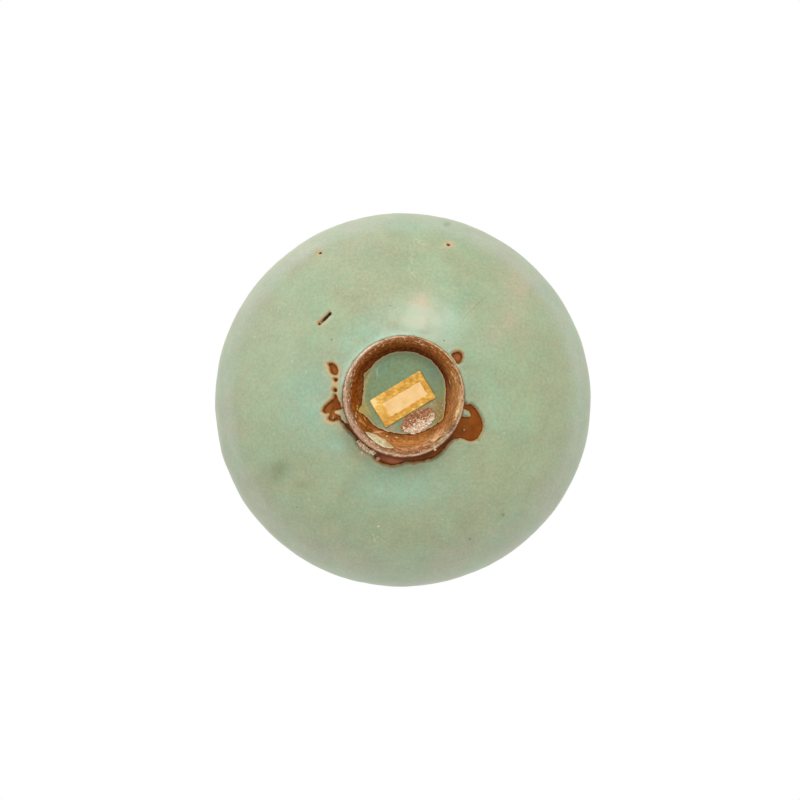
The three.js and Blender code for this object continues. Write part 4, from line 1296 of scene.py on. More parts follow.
def cockle(along, across):
    """How far the paper stands off: corners lift, and a slow wave runs along it."""
    lift = 0.1 * (np.abs(along / LABEL_HALF[0]) ** 4) * (np.abs(across / LABEL_HALF[1]) ** 4)
    return lift + 0.03 * np.sin(along * 0.8 + 0.5) * np.sin(across * 0.9)


def sheet(name, half, offset, near, far, corner, slot, node):
    """A thin sheet: stations along its length, and at each a flat loop across it. Its half width
    falls near the ends as a quarter circle, which rounds the corners."""
    end = steps((0, 0.06, 0.006))
    s = np.concatenate([end - 1, steps((-0.94, 0.94, 0.06))[1:-1], 1 - end[::-1]])[1:-1, None]
    from_end = (1 - np.abs(s)) * half[0]
    cut = corner - np.sqrt(np.clip(corner**2 - np.clip(corner - from_end, 0, corner) ** 2, 0, None))
    v = np.concatenate([np.linspace(-1, 1, SHEET_POINTS), np.linspace(1, -1, SHEET_POINTS)])
    low_side = np.arange(len(v)) < SHEET_POINTS
    across = v * (half[1] - cut)
    along = s * half[0] + 0 * v
    edge = np.minimum(1, (half[1] - cut - np.abs(across)) / 0.12 + 0.25)
    height = np.where(low_side, near, far) + np.where(low_side, (far - near) * (1 - edge) * 0.5, 0)
    plan = turned_plan(along + offset[0], across + offset[1], LABEL_CENTRE, LABEL_TURN)
    grid = at_height(plan, height - cockle(along, across))
    poles = [grid[0].mean(0), grid[-1].mean(0)]
    return grid_piece(name, grid, slot, None, poles, [node])


def gilt_frame():
    """Stations round the label, carrying a section from its outer edge to the bare panel's edge,
    with two raised lines pressed along it."""
    side_long, side_short = np.linspace(-1, 1, 70)[:-1], np.linspace(-1, 1, 38)[:-1]
    half_way = np.concatenate([
        np.stack([side_long, 0 * side_long - 1], -1), np.stack([0 * side_short + 1, side_short], -1)
    ])
    corner_path = np.concatenate([half_way, -half_way])
    corner_path *= 1 - 0.04 * (np.abs(corner_path).prod(1) ** 12)[:, None]
    share = np.concatenate([np.linspace(0, 1, FRAME_POINTS), np.linspace(1, 0, 6)])
    shown = np.arange(len(share)) < FRAME_POINTS
    outer_half = LABEL_HALF - GILT_INSET
    half = outer_half + (PANEL_HALF - outer_half) * share[:, None]
    local = corner_path[:, None] * half[None] + PANEL_OFFSET * share[:, None]
    flat = at_height(local)
    torn = 0.06 * ripple(flat, 1.3, 71)[..., None]
    local = local + torn * (share > 0.9)[None, :, None]
    lines = np.exp(-(((share - 0.14) / 0.045) ** 2)) + 0.8 * np.exp(-(((share - 0.84) / 0.04) ** 2))
    pressed = 0.03 * ripple(flat, 0.8, 72) - 0.05 * lines
    rounded = 0.06 * (np.clip(1 - share / 0.05, 0, 1) + np.clip(1 - (1 - share) / 0.05, 0, 1))
    height = np.where(shown, GILT_Z - 0.02 + pressed + rounded, PAPER_Z + 0.05)
    height = height - cockle(local[..., 0], local[..., 1])
    plan = turned_plan(local[..., 0], local[..., 1], LABEL_CENTRE, LABEL_TURN)
    return grid_piece("label_gilt_frame", at_height(plan, height), "gilt", nodes=["label_gilt_border"])


gum = sheet("label_dried_gum", LABEL_HALF + GUM_PAST_PAPER, GUM_OFFSET, GUM_Z, WELL_DEPTH + 0.1, 0.5,
            "gum", "label_gum")
paper = sheet("label_cream_paper", LABEL_HALF, (0, 0), PAPER_Z, GUM_Z + 0.02, 0.55,
              "label_paper", "label_paper")
gilt = gilt_frame()

# %% [markdown]
# ## Finishes
#
# Every finish is a node tree on a Principled shader. One function adds a node with its settings and
# links; another starts and ends a material, so that each finish below is only its own pattern.
# Pattern scales come from a real size in millimetres: a noise of scale 1000 / s, in metres, has
# features about s millimetres across.


# %% Node and material helpers
def add(tree, kind, inputs=(), out=0, stops=(), **settings):
    """Adds a node with its settings and links, and returns one of its outputs."""
    node = tree.nodes.new(kind)
    for name, value in settings.items():
        setattr(node, name, value)
    for key, value in dict(inputs).items():
        if isinstance(value, bpy.types.NodeSocket):
            tree.links.new(value, node.inputs[key])
        else:
            node.inputs[key].default_value = value
    if stops:
        first, *middle, last = stops
        band = node.color_ramp.elements
        for element, (position, colour) in ((band[0], first), (band[1], last)):
            element.position, element.color = position, colour
        for position, colour in middle:
            band.new(position).color = colour
    return node.outputs[out] if node.outputs else node


def empty_tree(owner):
    """The node tree of a material or a world, with nothing in it."""
    owner.use_nodes = True
    owner.node_tree.nodes.clear()
    return owner.node_tree


def finish_piece(pieces, name, paint, **constants):
    """Gives pieces a material: paint(tree, place) returns the patterned sockets of its shader."""
    material = bpy.data.materials.new(name)
    tree = empty_tree(material)
    place = add(tree, "ShaderNodeTexCoord", out="Object")
    shader = add(tree, "ShaderNodeBsdfPrincipled", {**constants, **paint(tree, place)}, "BSDF")
    add(tree, "ShaderNodeOutputMaterial", {"Surface": shader})
    for piece in pieces:
        piece.data.materials.append(material)
    print(f"{name}: {len(tree.nodes)} nodes")


def per_mm(size):
    """Texture scale whose features are about that many millimetres across."""
    return 1 / (size * MM)


MIX, SHARE = 2, {"data_type": "RGBA"}  # a colour mix takes 0, 6 and 7 and gives output 2
print("noise scale of patterns 1 mm across:", per_mm(1))

# %% [markdown]
# Most finishes repeat a few steps of two nodes each: a pattern darkens and lightens the colour, or
# lays a tone over it, or roughens the skin. Each step is a small function.


# %% Steps that finishes share
def shaded(tree, colour, pattern, start, full, low, high):
    """The colour, its value times low to high as a pattern runs from start to full."""
    value = add(tree, "ShaderNodeMapRange", {0: pattern, 1: start, 2: full, 3: low, 4: high})
    return add(tree, "ShaderNodeHueSaturation", {"Color": colour, "Value": value})


def covered(tree, colour, pattern, start, full, strength, tone):
    """The colour, covered by a tone up to a strength as a pattern runs from start to full."""
    share = add(tree, "ShaderNodeMapRange", {0: pattern, 1: start, 2: full, 3: 0.0, 4: strength})
    return add(tree, "ShaderNodeMix", {0: share, 6: colour, 7: linear(tone)}, MIX, **SHARE)


def ramped(tree, colour, pattern, stops):
    """The colour under a ramp of tones, each laid on as strongly as its own alpha says."""
    tone = add(tree, "ShaderNodeValToRGB", {"Fac": pattern}, stops=stops)
    share = tone.node.outputs["Alpha"]
    return add(tree, "ShaderNodeMix", {0: share, 6: colour, 7: tone}, MIX, **SHARE)


def rough_skin(tree, pattern, strength, depth, low, high):
    """Bump, its depth in millimetres, and roughness from low to high, both from one pattern."""
    bump = add(tree, "ShaderNodeBump",
               {"Strength": strength, "Distance": depth * MM, "Height": pattern}, "Normal")
    rough = add(tree, "ShaderNodeMapRange", {0: pattern, 1: 0.3, 2: 0.7, 3: low, 4: high})
    return {"Roughness": rough, "Normal": bump}


def from_ellipse(tree, place, middle, half_sizes, angle):
    """0 in the middle of an ellipse seen along the axis, 1 on its edge and more outside it."""
    local = add(tree, "ShaderNodeMapping", {
        "Vector": place, "Location": (*(np.array(middle) * MM), 0), "Rotation": (0, 0, angle),
        "Scale": (*(np.array(half_sizes) * MM), 1)}, vector_type="TEXTURE")
    return add(tree, "ShaderNodeVectorMath", {0: local}, "Value", operation="LENGTH")


MARK_EDGE = (1.15, 0.45)  # a mark fades in between these shares of its half sizes


def single_marks(tree, place, colour, marks):
    """Each mark is an ellipse seen along the axis, soft at its edge."""
    for x, y, half_length, half_width, turned, tone, strength in marks:
        away = from_ellipse(tree, place, (x, y), (half_length, half_width), np.radians(turned))
        colour = covered(tree, colour, away, *MARK_EDGE, strength, tone)
    return colour


# %% [markdown]
# ### Jun glaze
#
# Jun is an opalescent lime glaze, fired to a soft gloss: tiny bubbles and droplets of one glass in
# another scatter the light, so it looks milky blue-green where it is thick and olive brown where it
# runs thin over an edge. The nodes go from large to small: clouds, streaks, mottling, specks. A
# ramp on the distance to bare clay draws the dark line and the rusty halo at each edge, and a ramp
# on height turns the lip brown. IOR 1.5 is glass.

# %% Specks, halo and single marks
SPECKS = [
    (5.5, 0.24, "#e6e8d4", 0.6), (9, 0.3, "#6c7250", 0.55), (3.5, 0.13, "#88906a", 0.55),
    (2.6, 0.1, "#d4dcc0", 0.5),
]  # cell, radius, colour and strength of each kind of speck
EDGE_REACH, RUST_REACH = 0.7, 1.9  # millimetres that the halo reaches, and more with rust
HALO = [
    (0.0, linear("#683410", 1.0)),
    (0.06, linear("#a4682e", 1.0)),
    (0.14, linear("#c49458", 0.95)),
    (0.3, linear("#d2ae78", 0.75)),
    (0.6, linear("#ccb88a", 0.35)),
    (1.0, linear("#bdb68f", 0.0)),
]
MARKS = [
    (31.0, 36.3, 0.7, 0.6, 0, "#807a48", 0.6),
    (20.8, 43.9, 0.42, 0.4, 0, "#666849", 0.7),
    (-22.1, -17.8, 0.5, 0.45, 0, "#76845e", 0.65),
    (12.5, -17.4, 0.3, 0.3, 0, "#4a523c", 0.9),
    (-20.4, -32.3, 0.25, 0.25, 0, "#6c7650", 0.7),
    (-33.1, 33.9, 0.3, 0.25, 0, "#6c7650", 0.7),
    (22.6, -28.6, 6.3, 0.14, -45, "#6f8258", 0.5),
    (14.0, -55.3, 1.6, 1.0, -25, "#7f9470", 0.5),
    (-3.9, -28.3, 1.0, 0.14, 5, "#6a7250", 0.7),
    (-2.8, -27.5, 0.7, 0.12, -10, "#6a7250", 0.6),
    (-7.7, 39.8, 0.45, 0.35, 0, "#dcdcb6", 0.9),
    (-8.9, 44.0, 0.9, 0.3, 60, "#cfd0a8", 0.7),
    (-8.1, 43.2, 0.5, 0.2, -30, "#cfd0a8", 0.6),
]  # x, y, half length, half width, turn, colour and strength of single marks
SCRATCHES = [
    (4.2, -49.7, 20), (5.0, -48.9, -50), (6.2, -48.0, 35), (3.4, -48.2, 70), (2.9, -44.4, -60),
    (2.3, -43.2, 15), (2.7, -42.1, 70), (1.9, -39.9, 80), (2.8, -38.8, -30), (3.3, -37.9, 60),
]  # x, y and turn of short pale scratches
FLECKS = [
    (-34.6, -11.3), (-29.4, 31.6), (34.1, 21.3), (12.1, 37.8), (-12.3, -33.7), (-35.3, -26.0),
    (-46.4, -19.2), (-16.8, -21.3), (-30.0, -7.8), (-9.4, 42.5), (-22.1, 15.2), (29.8, 39.3),
    (31.1, 10.9), (17.2, 19.5), (12.5, 43.7),
]  # x and y of white flecks
LATE_MARKS_AND_SHADE = [
    (-24.1, -24.3, 3.5, 1.5, -45, "#e2c8a6", 0.45),
    # painted shade: near-black in the slit and at its end, dark in the pinholes
    (-24.0, -24.5, 2.1, 0.62, -45, "#2a1204", 1.0),
    (-22.75, -25.75, 0.9, 0.6, -45, "#120802", 1.0),
    (-25.9, -22.7, 0.55, 0.5, 0, "#54341c", 0.9),
    (-25.6, -23.2, 0.26, 0.2, 0, "#e4b888", 0.9),
    (-25.9, -45.6, 0.55, 0.45, 0, "#3a2812", 1.0),
    (14.1, -48.0, 0.6, 0.5, 0, "#6a3018", 1.0),
    (-20.3, 4.6, 1.1, 0.55, 15, "#dccca0", 0.85),
    (-23.2, 5.2, 0.8, 0.45, 20, "#dcb680", 0.85),
    (-21.7, 6.3, 0.35, 0.25, 40, "#ecc894", 0.9),
    (-22.3, 5.9, 0.3, 0.3, 0, "#8a4c18", 0.9),
    (-21.3, 5.6, 0.5, 0.22, 60, "#c87c34", 0.8),
    (-22.5, 7.0, 0.3, 0.22, 0, "#5c3814", 0.8),
]  # marks of slit, pinholes and the ragged end of a bare patch, on glaze and clay alike; the near-black ones in slit and pinholes are painted shade of those hollows
MARKS += [(x, y, 0.9, 0.13, turned, "#d2d6a8", 0.75) for x, y, turned in SCRATCHES]
MARKS += [(x, y, 0.25, 0.21, 0, "#e0e2cc", 0.65) for x, y in FLECKS]
print("single marks on the glaze:", len(MARKS) + len(LATE_MARKS_AND_SHADE))

# %% Patterns of jun glaze
CLOUD, DRIFT, STREAK, MOTTLE = 17, 8, 5, 0.9  # sizes of the patterns
LIP_WANDER = 5  # how far the edge of the lip's brown wanders up and down
BROWN_FROM, BROWN_TO = 55.5, 61.0  # heights, with the wander added, between which it sets in
LIP_FADE = [
    (0.0, linear("#a8a478", 0.0)),
    (0.5, linear("#a39a6a", 0.6)),
    (0.8, linear("#8c7444", 0.85)),
    (1.0, linear("#74582c", 0.95)),
]  # green to olive to brown as the glaze thins over the lip


def jun_pattern(tree, place, ground):
    """Clouds, streaks, mottling and specks over a ground colour."""
    cloud = add(tree, "ShaderNodeTexNoise",
                {"Vector": place, "Scale": per_mm(CLOUD), "Detail": 3.0, "Distortion": 0.3})
    green = covered(tree, ground, cloud, 0.38, 0.66, 0.55, "#9cb994")
    streak = add(tree, "ShaderNodeTexNoise",
                 {"Vector": place, "Scale": per_mm(STREAK), "Detail": 4.0, "Distortion": 0.8})
    warm = covered(tree, green, streak, 0.45, 0.75, 0.32, "#b6ac84")
    drift = add(tree, "ShaderNodeTexNoise",
                {"Vector": place, "Scale": per_mm(DRIFT), "Detail": 3.0, "Distortion": 0.5})
    deep = shaded(tree, warm, drift, 0.3, 0.7, 0.94, 1.06)
    mottle = add(tree, "ShaderNodeTexNoise",
                 {"Vector": place, "Scale": per_mm(MOTTLE), "Detail": 6.0, "Roughness": 0.65})
    colour = shaded(tree, deep, mottle, 0.25, 0.75, 0.84, 1.16)
    for cell, radius, tone, strength in SPECKS:
        cells = add(tree, "ShaderNodeTexVoronoi", {"Vector": place, "Scale": per_mm(cell)})
        reach = radius / cell
        colour = covered(tree, colour, cells, reach, reach / 3, strength, tone)
    return colour, mottle


def lip_browned(tree, place, colour):
    """The glaze runs thin towards the lip and lets the brown body show through."""
    height = add(tree, "ShaderNodeSeparateXYZ", {0: place}, "Z")
    wander = add(tree, "ShaderNodeTexNoise", {"Vector": place, "Scale": per_mm(9), "Detail": 4.0})
    wavy = add(tree, "ShaderNodeMath", {0: wander, 1: LIP_WANDER * MM, 2: height},
               operation="MULTIPLY_ADD")
    near_lip = add(tree, "ShaderNodeMapRange",
                   {0: wavy, 1: BROWN_FROM * MM, 2: BROWN_TO * MM, 3: 0.0, 4: 1.0})
    return ramped(tree, colour, near_lip, LIP_FADE)


def soft_gloss(tree, place, mottle):
    """Roughness and bump: orange peel about 2 mm across, and fine bubbles."""
    peel = add(tree, "ShaderNodeTexNoise", {"Vector": place, "Scale": per_mm(2.2), "Detail": 2.0})
    bump = add(tree, "ShaderNodeBump",
               {"Strength": 0.35, "Distance": 0.1 * MM, "Height": peel}, "Normal")
    fine = add(tree, "ShaderNodeBump",
               {"Strength": 0.3, "Distance": 0.04 * MM, "Height": mottle, "Normal": bump}, "Normal")
    rough = add(tree, "ShaderNodeMapRange", {0: mottle, 1: 0.3, 2: 0.7, 3: 0.3, 4: 0.42})
    return {"Roughness": rough, "Normal": fine}


print("clouds, drifts, streaks and mottling in mm:", CLOUD, DRIFT, STREAK, MOTTLE)

# %% Jun glaze outside and inside
POOLED_FROM, POOLED_TO = 26, 13  # heights between which the glaze inside turns bluer as it pools


def outer_jun(tree, place):
    """The painted glaze with its patterns, brown lip, halo round bare clay and single marks."""
    tint = add(tree, "ShaderNodeAttribute", out="Color", attribute_name="tint")
    colour, mottle = jun_pattern(tree, place, tint)
    colour = single_marks(tree, place, lip_browned(tree, place, colour), MARKS)
    edge, rust = (add(tree, "ShaderNodeAttribute", out="Fac", attribute_name=name)
                  for name in ("edge", "rust"))
    wander = add(tree, "ShaderNodeTexNoise", {"Vector": place, "Scale": per_mm(1.6), "Detail": 3.0})
    spread = add(tree, "ShaderNodeMapRange", {0: wander, 1: 0.3, 2: 0.7, 3: 0.55, 4: 1.5})
    rusty = add(tree, "ShaderNodeMath", {0: rust, 1: RUST_REACH, 2: EDGE_REACH}, operation="MULTIPLY_ADD")
    reach = add(tree, "ShaderNodeMath", {0: spread, 1: rusty}, operation="MULTIPLY")
    away = add(tree, "ShaderNodeMath", {0: edge, 1: reach}, operation="DIVIDE", use_clamp=True)
    marked = single_marks(tree, place, ramped(tree, colour, away, HALO), LATE_MARKS_AND_SHADE)
    return {"Base Color": marked, **soft_gloss(tree, place, mottle)}


def inner_jun(tree, place):
    """Sea green, bluer where it pools, and brown at the lip."""
    height = add(tree, "ShaderNodeSeparateXYZ", {0: place}, "Z")
    ground = covered(tree, linear("#a4b492"), height, POOLED_FROM * MM, POOLED_TO * MM, 0.85, "#8fb4a4")
    colour, mottle = jun_pattern(tree, place, ground)
    return {"Base Color": lip_browned(tree, place, colour), **soft_gloss(tree, place, mottle)}


finish_piece([outer_coat], "jun_glaze_outside", outer_jun, IOR=1.5)
finish_piece([lip_coat, inner_coat], "jun_glaze_inside_and_lip", inner_jun, IOR=1.5)

# %% [markdown]
# ### Bare and dressed clay
#
# Where the glaze crawled back, iron in the clay burned to a smooth chocolate skin with a slight
# gloss. The rest face was wiped, so it is paler, pinkish grey and matt, with dark grains and rubbed
# patches. One material serves the whole body: height chooses between the two.

# %% Stoneware and iron wash
WIPED = {"light": (0.68, 1.32), "pale": "#f2d8b2", "pit": "#4a2c14", "cover": 0.68}
WASHED = {"light": (0.5, 1.5), "pale": "#cc8438", "pit": "#341000", "cover": 0.6}
TURNED_MARK, TURNED_FLECK = 1.8, 1.5  # sizes in millimetres, as their attribute counts


def streaked(tree, place, light, pale, pit, cover):
    """The painted colour with turning marks, pale and dark flecks along them, sandy grain and the
    single strokes, among them painted glints and a painted shadow line."""
    tint = add(tree, "ShaderNodeAttribute", out="Color", attribute_name="tint")
    turned = add(tree, "ShaderNodeAttribute", out="Vector", attribute_name="turning")
    marks = add(tree, "ShaderNodeTexNoise",
                {"Vector": turned, "Scale": 1 / TURNED_MARK, "Detail": 5.0, "Roughness": 0.65})
    brushed = shaded(tree, tint, marks, 0.32, 0.68, *light)
    grain = add(tree, "ShaderNodeTexNoise",
                {"Vector": place, "Scale": per_mm(0.6), "Detail": 3.0, "Roughness": 0.7})
    colour = shaded(tree, brushed, grain, 0.3, 0.7, 0.66, 1.3)
    flecks = add(tree, "ShaderNodeTexNoise",
                 {"Vector": turned, "Scale": 1 / TURNED_FLECK, "Detail": 3.0, "Distortion": 0.6})
    sand = add(tree, "ShaderNodeTexNoise",
               {"Vector": place, "Scale": per_mm(0.9), "Detail": 4.0, "Roughness": 0.75})
    layers = ((flecks, 0.6, 0.7, pale), (sand, 0.56, 0.68, pale), (flecks, 0.42, 0.33, pit),
              (sand, 0.38, 0.28, pit))
    for pattern, start, full, tone in layers:
        colour = covered(tree, colour, pattern, start, full, cover, tone)
    return single_marks(tree, place, colour, FOOT_DABS_LIGHT_AND_SHADE), grain


def stoneware(tree, place):
    """The wiped, worn foot below, and the glossier skin above, with a dark rim at each glaze edge that is
    partly painted shadow.
    """
    tint = add(tree, "ShaderNodeAttribute", out="Color", attribute_name="tint")
    broad = add(tree, "ShaderNodeTexNoise", {"Vector": place, "Scale": per_mm(2.5), "Detail": 6.0})
    skin = shaded(tree, tint, broad, 0.3, 0.7, 0.76, 1.24)
    edge = add(tree, "ShaderNodeAttribute", out="Fac", attribute_name="edge")
    # a dark rim on the clay inside each glaze edge: partly the clay's dark outline, partly painted shadow
    # of the glaze's edge
    skin_with_rim_shade = covered(tree, skin, edge, -0.42, -0.12, 0.6, "#3c1804")
    bare = single_marks(tree, place, skin_with_rim_shade, LATE_MARKS_AND_SHADE)
    worn, grain = streaked(tree, place, **WIPED)
    height = add(tree, "ShaderNodeSeparateXYZ", {0: place}, "Z")
    share = add(tree, "ShaderNodeMapRange",
                {0: height, 1: FOOT_TOP * MM, 2: SKIN_BOTTOM * MM, 3: 0.0, 4: 1.0})
    colour = add(tree, "ShaderNodeMix", {0: share, 6: worn, 7: bare}, MIX, **SHARE)
    rough = add(tree, "ShaderNodeMapRange", {0: share, 1: 0.0, 2: 1.0, 3: 0.85, 4: 0.34})
    bump = add(tree, "ShaderNodeBump",
               {"Strength": 0.5, "Distance": 0.1 * MM, "Height": grain}, "Normal")
    return {"Base Color": colour, "Roughness": rough, "Normal": bump}


def washed_inside(tree, place):
    """Painted shade: a dark line where the glaze of the well ends on the wall."""
    colour, grain = streaked(tree, place, **WASHED)
    pool = add(tree, "ShaderNodeAttribute", out="Fac", attribute_name="pool")
    pool_edge_shade = covered(tree, colour, pool, 0.55, 0.15, 0.8, "#5c2604")
    return {"Base Color": pool_edge_shade, **rough_skin(tree, grain, 0.6, 0.1, 0.5, 0.75)}


def washed_outside(tree, place):
    """Plain brown with a broad unevenness, as little of it shows."""
    tint = add(tree, "ShaderNodeAttribute", out="Color", attribute_name="tint")
    broad = add(tree, "ShaderNodeTexNoise", {"Vector": place, "Scale": per_mm(3), "Detail": 5.0})
    brown = add(tree, "ShaderNodeMix", {0: 0.75, 6: tint, 7: linear("#744624")}, MIX, **SHARE)
    colour = shaded(tree, brown, broad, 0.3, 0.7, 0.75, 1.2)
    return {"Base Color": colour, **rough_skin(tree, broad, 0.3, 0.1, 0.5, 0.75)}


finish_piece([body], "fired_stoneware", stoneware, IOR=1.5, **{"Specular IOR Level": 0.15})
DULL = {"IOR": 1.5, "Specular IOR Level": 0.06}
finish_piece([inner_wash], "iron_wash_in_foot", washed_inside, **DULL)
finish_piece([outer_wash], "iron_wash_round_foot", washed_outside, **DULL)

# %% [markdown]
# ### Glaze in the well, splash, grit and label
#
# The well's glaze is thinner and greyer than the outside's, with a beige line where it draws up the
# wall. Grit is matt, from pink-brown to white. Paper is matt, and the gilt is bronze powder in
# varnish, so it is only partly metallic and mottled.

# %% Glaze in the well and splash
SPLASH_MARKS = [
    (-4.4, 14.8, 1.7, 0.9, 25, "#b8945c", 0.75),
    (-7.4, 12.6, 1.2, 0.4, 38, "#ded6b4", 0.6),
]  # a browner patch near the splash's right end and a pale streak at its middle


def well_jun(tree, place):
    """Painted grey-green with clouds and mottling, and a beige line along its rim."""
    tint = add(tree, "ShaderNodeAttribute", out="Color", attribute_name="tint")
    cloud = add(tree, "ShaderNodeTexNoise", {"Vector": place, "Scale": per_mm(4), "Detail": 5.0})
    tone = covered(tree, tint, cloud, 0.45, 0.75, 0.5, "#7a9c7c")
    mottle = add(tree, "ShaderNodeTexNoise", {"Vector": place, "Scale": per_mm(1), "Detail": 5.0})
    mottled = shaded(tree, tone, mottle, 0.3, 0.7, 0.86, 1.14)
    rim = add(tree, "ShaderNodeAttribute", out="Fac", attribute_name="rim")
    colour = covered(tree, mottled, rim, 0.95, 0.985, 0.9, "#b8a070")
    return {"Base Color": colour, **soft_gloss(tree, place, mottle)}


def pale_jun(tree, place):
    """Olive to cream, with the splash's own two marks."""
    mottle = add(tree, "ShaderNodeTexNoise", {"Vector": place, "Scale": per_mm(1.2), "Detail": 5.0})
    tone = add(tree, "ShaderNodeValToRGB", {"Fac": mottle}, stops=[
        (0.32, linear("#b0a074")), (0.5, linear("#d2c49a")), (0.66, linear("#e6dab4"))])
    marked = single_marks(tree, place, tone, SPLASH_MARKS)
    return {"Base Color": marked, **soft_gloss(tree, place, mottle)}


finish_piece([well_pool], "jun_glaze_in_well", well_jun, IOR=1.5)
finish_piece([splash_leaf], "pale_jun_splash", pale_jun, IOR=1.5)


# %% Grit, paper, gilt and gum
def kiln_grit(tree, place):
    """Pink-brown to white by each grain's own paleness."""
    pale = add(tree, "ShaderNodeAttribute", out="Fac", attribute_name="pale")
    tone = add(tree, "ShaderNodeValToRGB", {"Fac": pale}, stops=[
        (0.0, linear("#a0603c")), (0.35, linear("#b8845c")), (0.7, linear("#f6cca4")),
        (1.0, linear("#fff2dc"))])
    grain = add(tree, "ShaderNodeTexNoise", {"Vector": place, "Scale": per_mm(0.4), "Detail": 3.0})
    colour = shaded(tree, tone, grain, 0.3, 0.7, 0.75, 1.15)
    return {"Base Color": colour, **rough_skin(tree, grain, 0.7, 0.1, 0.7, 0.95)}


def aged_paper(tree, place):
    """Cream with faint stains, and a bump of fibres."""
    stain = add(tree, "ShaderNodeTexNoise", {"Vector": place, "Scale": per_mm(3), "Detail": 4.0})
    tone = add(tree, "ShaderNodeValToRGB", {"Fac": stain}, stops=[
        (0.3, linear("#f4c47c")), (0.5, linear("#fcd290")), (0.7, linear("#ffdc9e"))])
    fibre = add(tree, "ShaderNodeTexNoise",
                {"Vector": place, "Scale": per_mm(0.3), "Detail": 4.0, "Distortion": 2.0})
    return {"Base Color": tone, **rough_skin(tree, fibre, 0.4, 0.05, 0.8, 0.95)}


def worn_gilt(tree, place):
    """Bronze powder, brighter towards the corner where it is rubbed down to the paper."""
    blotch = add(tree, "ShaderNodeTexNoise", {"Vector": place, "Scale": per_mm(1.5), "Detail": 5.0})
    tone = add(tree, "ShaderNodeValToRGB", {"Fac": blotch}, stops=[
        (0.3, linear("#b47a1e")), (0.44, linear("#d3992f")), (0.57, linear("#e0aa42")),
        (0.72, linear("#eebe5c"))])
    bare_corner = turned_plan(-LABEL_HALF[0] + 0.6, -LABEL_HALF[1] + 0.8, LABEL_CENTRE, LABEL_TURN)
    away = from_ellipse(tree, place, bare_corner, (1.5, 2.2), LABEL_TURN)
    ragged = add(tree, "ShaderNodeMath", {0: blotch, 1: 0.8, 2: away}, operation="MULTIPLY_ADD")
    lit = covered(tree, tone, away, 4.0, 1.0, 0.7, "#f4c260")
    colour = covered(tree, lit, ragged, 1.4, 1.15, 1.0, "#ffdc96")
    metal = add(tree, "ShaderNodeMapRange", {0: blotch, 1: 0.3, 2: 0.7, 3: 0.1, 4: 0.35})
    return {"Base Color": colour, "Metallic": metal, **rough_skin(tree, blotch, 0.4, 0.06, 0.6, 0.42)}


def dried_gum(tree, place):
    """Brown, unevenly dark, with a low gloss."""
    blotch = add(tree, "ShaderNodeTexNoise", {"Vector": place, "Scale": per_mm(1), "Detail": 4.0})
    tone = add(tree, "ShaderNodeValToRGB", {"Fac": blotch}, stops=[
        (0.3, linear("#4f3a1c")), (0.7, linear("#7a5a2c"))])
    rough = add(tree, "ShaderNodeMapRange", {0: blotch, 1: 0.3, 2: 0.7, 3: 0.4, 4: 0.65})
    return {"Base Color": tone, "Roughness": rough}


finish_piece([scar_piece, crust_piece], "fused_kiln_grit", kiln_grit)
finish_piece([paper], "aged_cream_paper", aged_paper)
finish_piece([gilt], "worn_gilt_print", worn_gilt)
finish_piece([gum], "dried_gum", dried_gum)

# %% [markdown]
# ## Floor, light and world
#
# The photograph's light is even, as in a white tent, with a soft highlight on the side of the foot
# towards the top of the picture. The world is white to the camera and in reflections and gives a
# little less light than that; one lamp draws the highlight and two fill in. The floor is a disc that
# fades out into the white and lets the camera look up through it.

# %% Floor
FLOOR_RADIUS = 0.5
FLOOR_GAP = 0.0002  # keeps the floor off the rest face
FLOOR_CORNERS = 96
FADES_FROM, FADES_TO = 0.12, FLOOR_RADIUS * 0.9  # radii between which the floor fades out


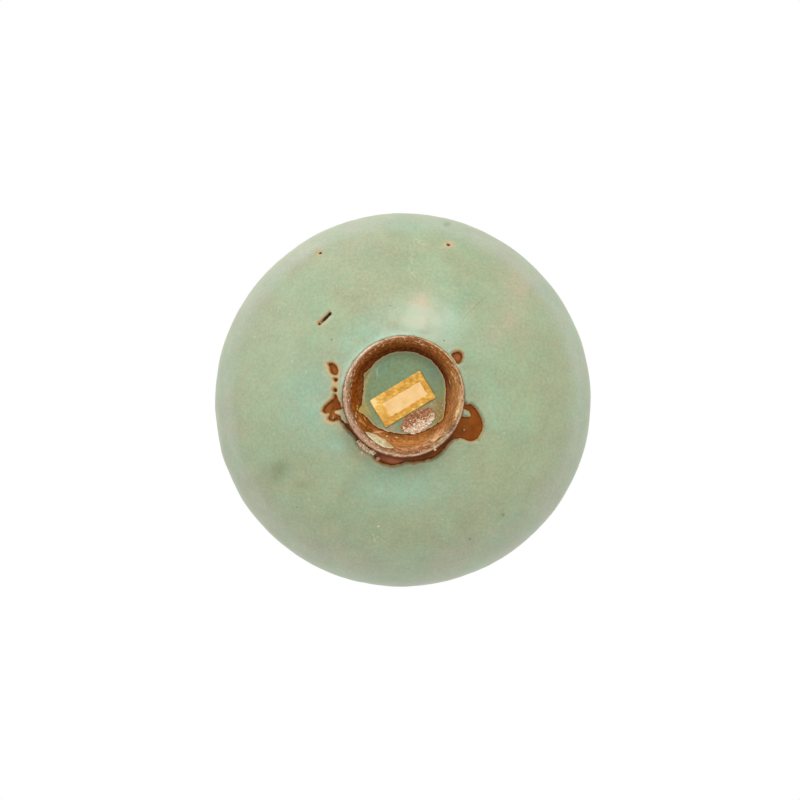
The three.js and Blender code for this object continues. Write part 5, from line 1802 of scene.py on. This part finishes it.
def make_floor():
    """A flat disc: a ring of points on x = R cos a, y = R sin a, fanned from its middle."""
    ring = at_azimuth(FLOOR_RADIUS, all_round(FLOOR_CORNERS))
    points = np.concatenate([[(0, 0, -FLOOR_GAP)], at_height(ring, -FLOOR_GAP)])
    rim = np.arange(FLOOR_CORNERS)
    fans = np.stack([0 * rim, rim + 1, (rim + 1) % FLOOR_CORNERS + 1], -1)
    mesh = bpy.data.meshes.new("floor")
    mesh.from_pydata(points.tolist(), [], fans.tolist())
    floor = new_object("floor", mesh)
    floor.visible_shadow = floor.visible_diffuse = floor.visible_glossy = False
    material = bpy.data.materials.new("pale_floor")
    tree = empty_tree(material)
    place = add(tree, "ShaderNodeTexCoord", out="Object")
    away = add(tree, "ShaderNodeVectorMath", {0: place}, "Value", operation="LENGTH")
    fade = add(tree, "ShaderNodeMapRange", {0: away, 1: FADES_FROM, 2: FADES_TO, 3: 0.0, 4: 1.0})
    beneath = add(tree, "ShaderNodeNewGeometry", out="Backfacing")
    gone = add(tree, "ShaderNodeMath", {0: fade, 1: beneath}, operation="MAXIMUM")
    matt = add(tree, "ShaderNodeBsdfDiffuse", {"Color": linear("#f2f0ec")})
    clear = add(tree, "ShaderNodeBsdfTransparent")
    surface = add(tree, "ShaderNodeMixShader", {0: gone, 1: matt, 2: clear})
    add(tree, "ShaderNodeOutputMaterial", {"Surface": surface})
    mesh.materials.append(material)
    print(f"floor of {FLOOR_CORNERS} corners, {len(tree.nodes)} nodes")


make_floor()

# %% Lamps and world
WORLD_LIGHT = 0.72
LAMP_DISTANCE = 1.0
LAMPS = [
    ("lamp_beneath", 38, -77, 0.34, 3.4, True),
    ("lamp_at_side", 78, -160, 0.8, 1.2, True),
    ("lamp_above", 40, -120, 0.5, 3.0, False),
]  # name, degrees off the axis, azimuth, size in metres, watts, and whether it stands beneath


def lamp(name, off_axis, azimuth, size, power, below):
    """A square lamp that looks at the foot, placed by its angle off the bowl's axis. The camera
    doesn't see it, and one above leaves no highlight either."""
    light = bpy.data.lights.new(name, "AREA")
    light.size, light.energy = size, power
    piece = new_object(name, light)
    tilt, azimuth = np.radians(off_axis), np.radians(azimuth)
    aim = Vector((np.sin(tilt) * np.cos(azimuth), np.sin(tilt) * np.sin(azimuth),
                  -np.cos(tilt) if below else np.cos(tilt)))
    piece.location = aim * LAMP_DISTANCE
    piece.rotation_mode = "QUATERNION"
    piece.rotation_quaternion = aim.to_track_quat("Z", "Y")
    piece.visible_camera = False
    piece.visible_glossy = below


for settings in LAMPS:
    lamp(*settings)

world = bpy.data.worlds.new("white_tent")
bpy.context.scene.world = world
sky = empty_tree(world)
seen_by = [add(sky, "ShaderNodeLightPath", out=ray) for ray in
           ("Is Camera Ray", "Is Glossy Ray", "Is Transmission Ray")]
seen = add(sky, "ShaderNodeMath", {0: seen_by[0], 1: seen_by[1]}, operation="MAXIMUM")
seen = add(sky, "ShaderNodeMath", {0: seen, 1: seen_by[2]}, operation="MAXIMUM")
glow = add(sky, "ShaderNodeMapRange", {0: seen, 1: 0.0, 2: 1.0, 3: WORLD_LIGHT, 4: 1.0})
background = add(sky, "ShaderNodeBackground", {"Color": (1, 1, 1, 1), "Strength": glow})
add(sky, "ShaderNodeOutputWorld", {"Surface": background})
print("lamps and world light:", len(LAMPS), WORLD_LIGHT)
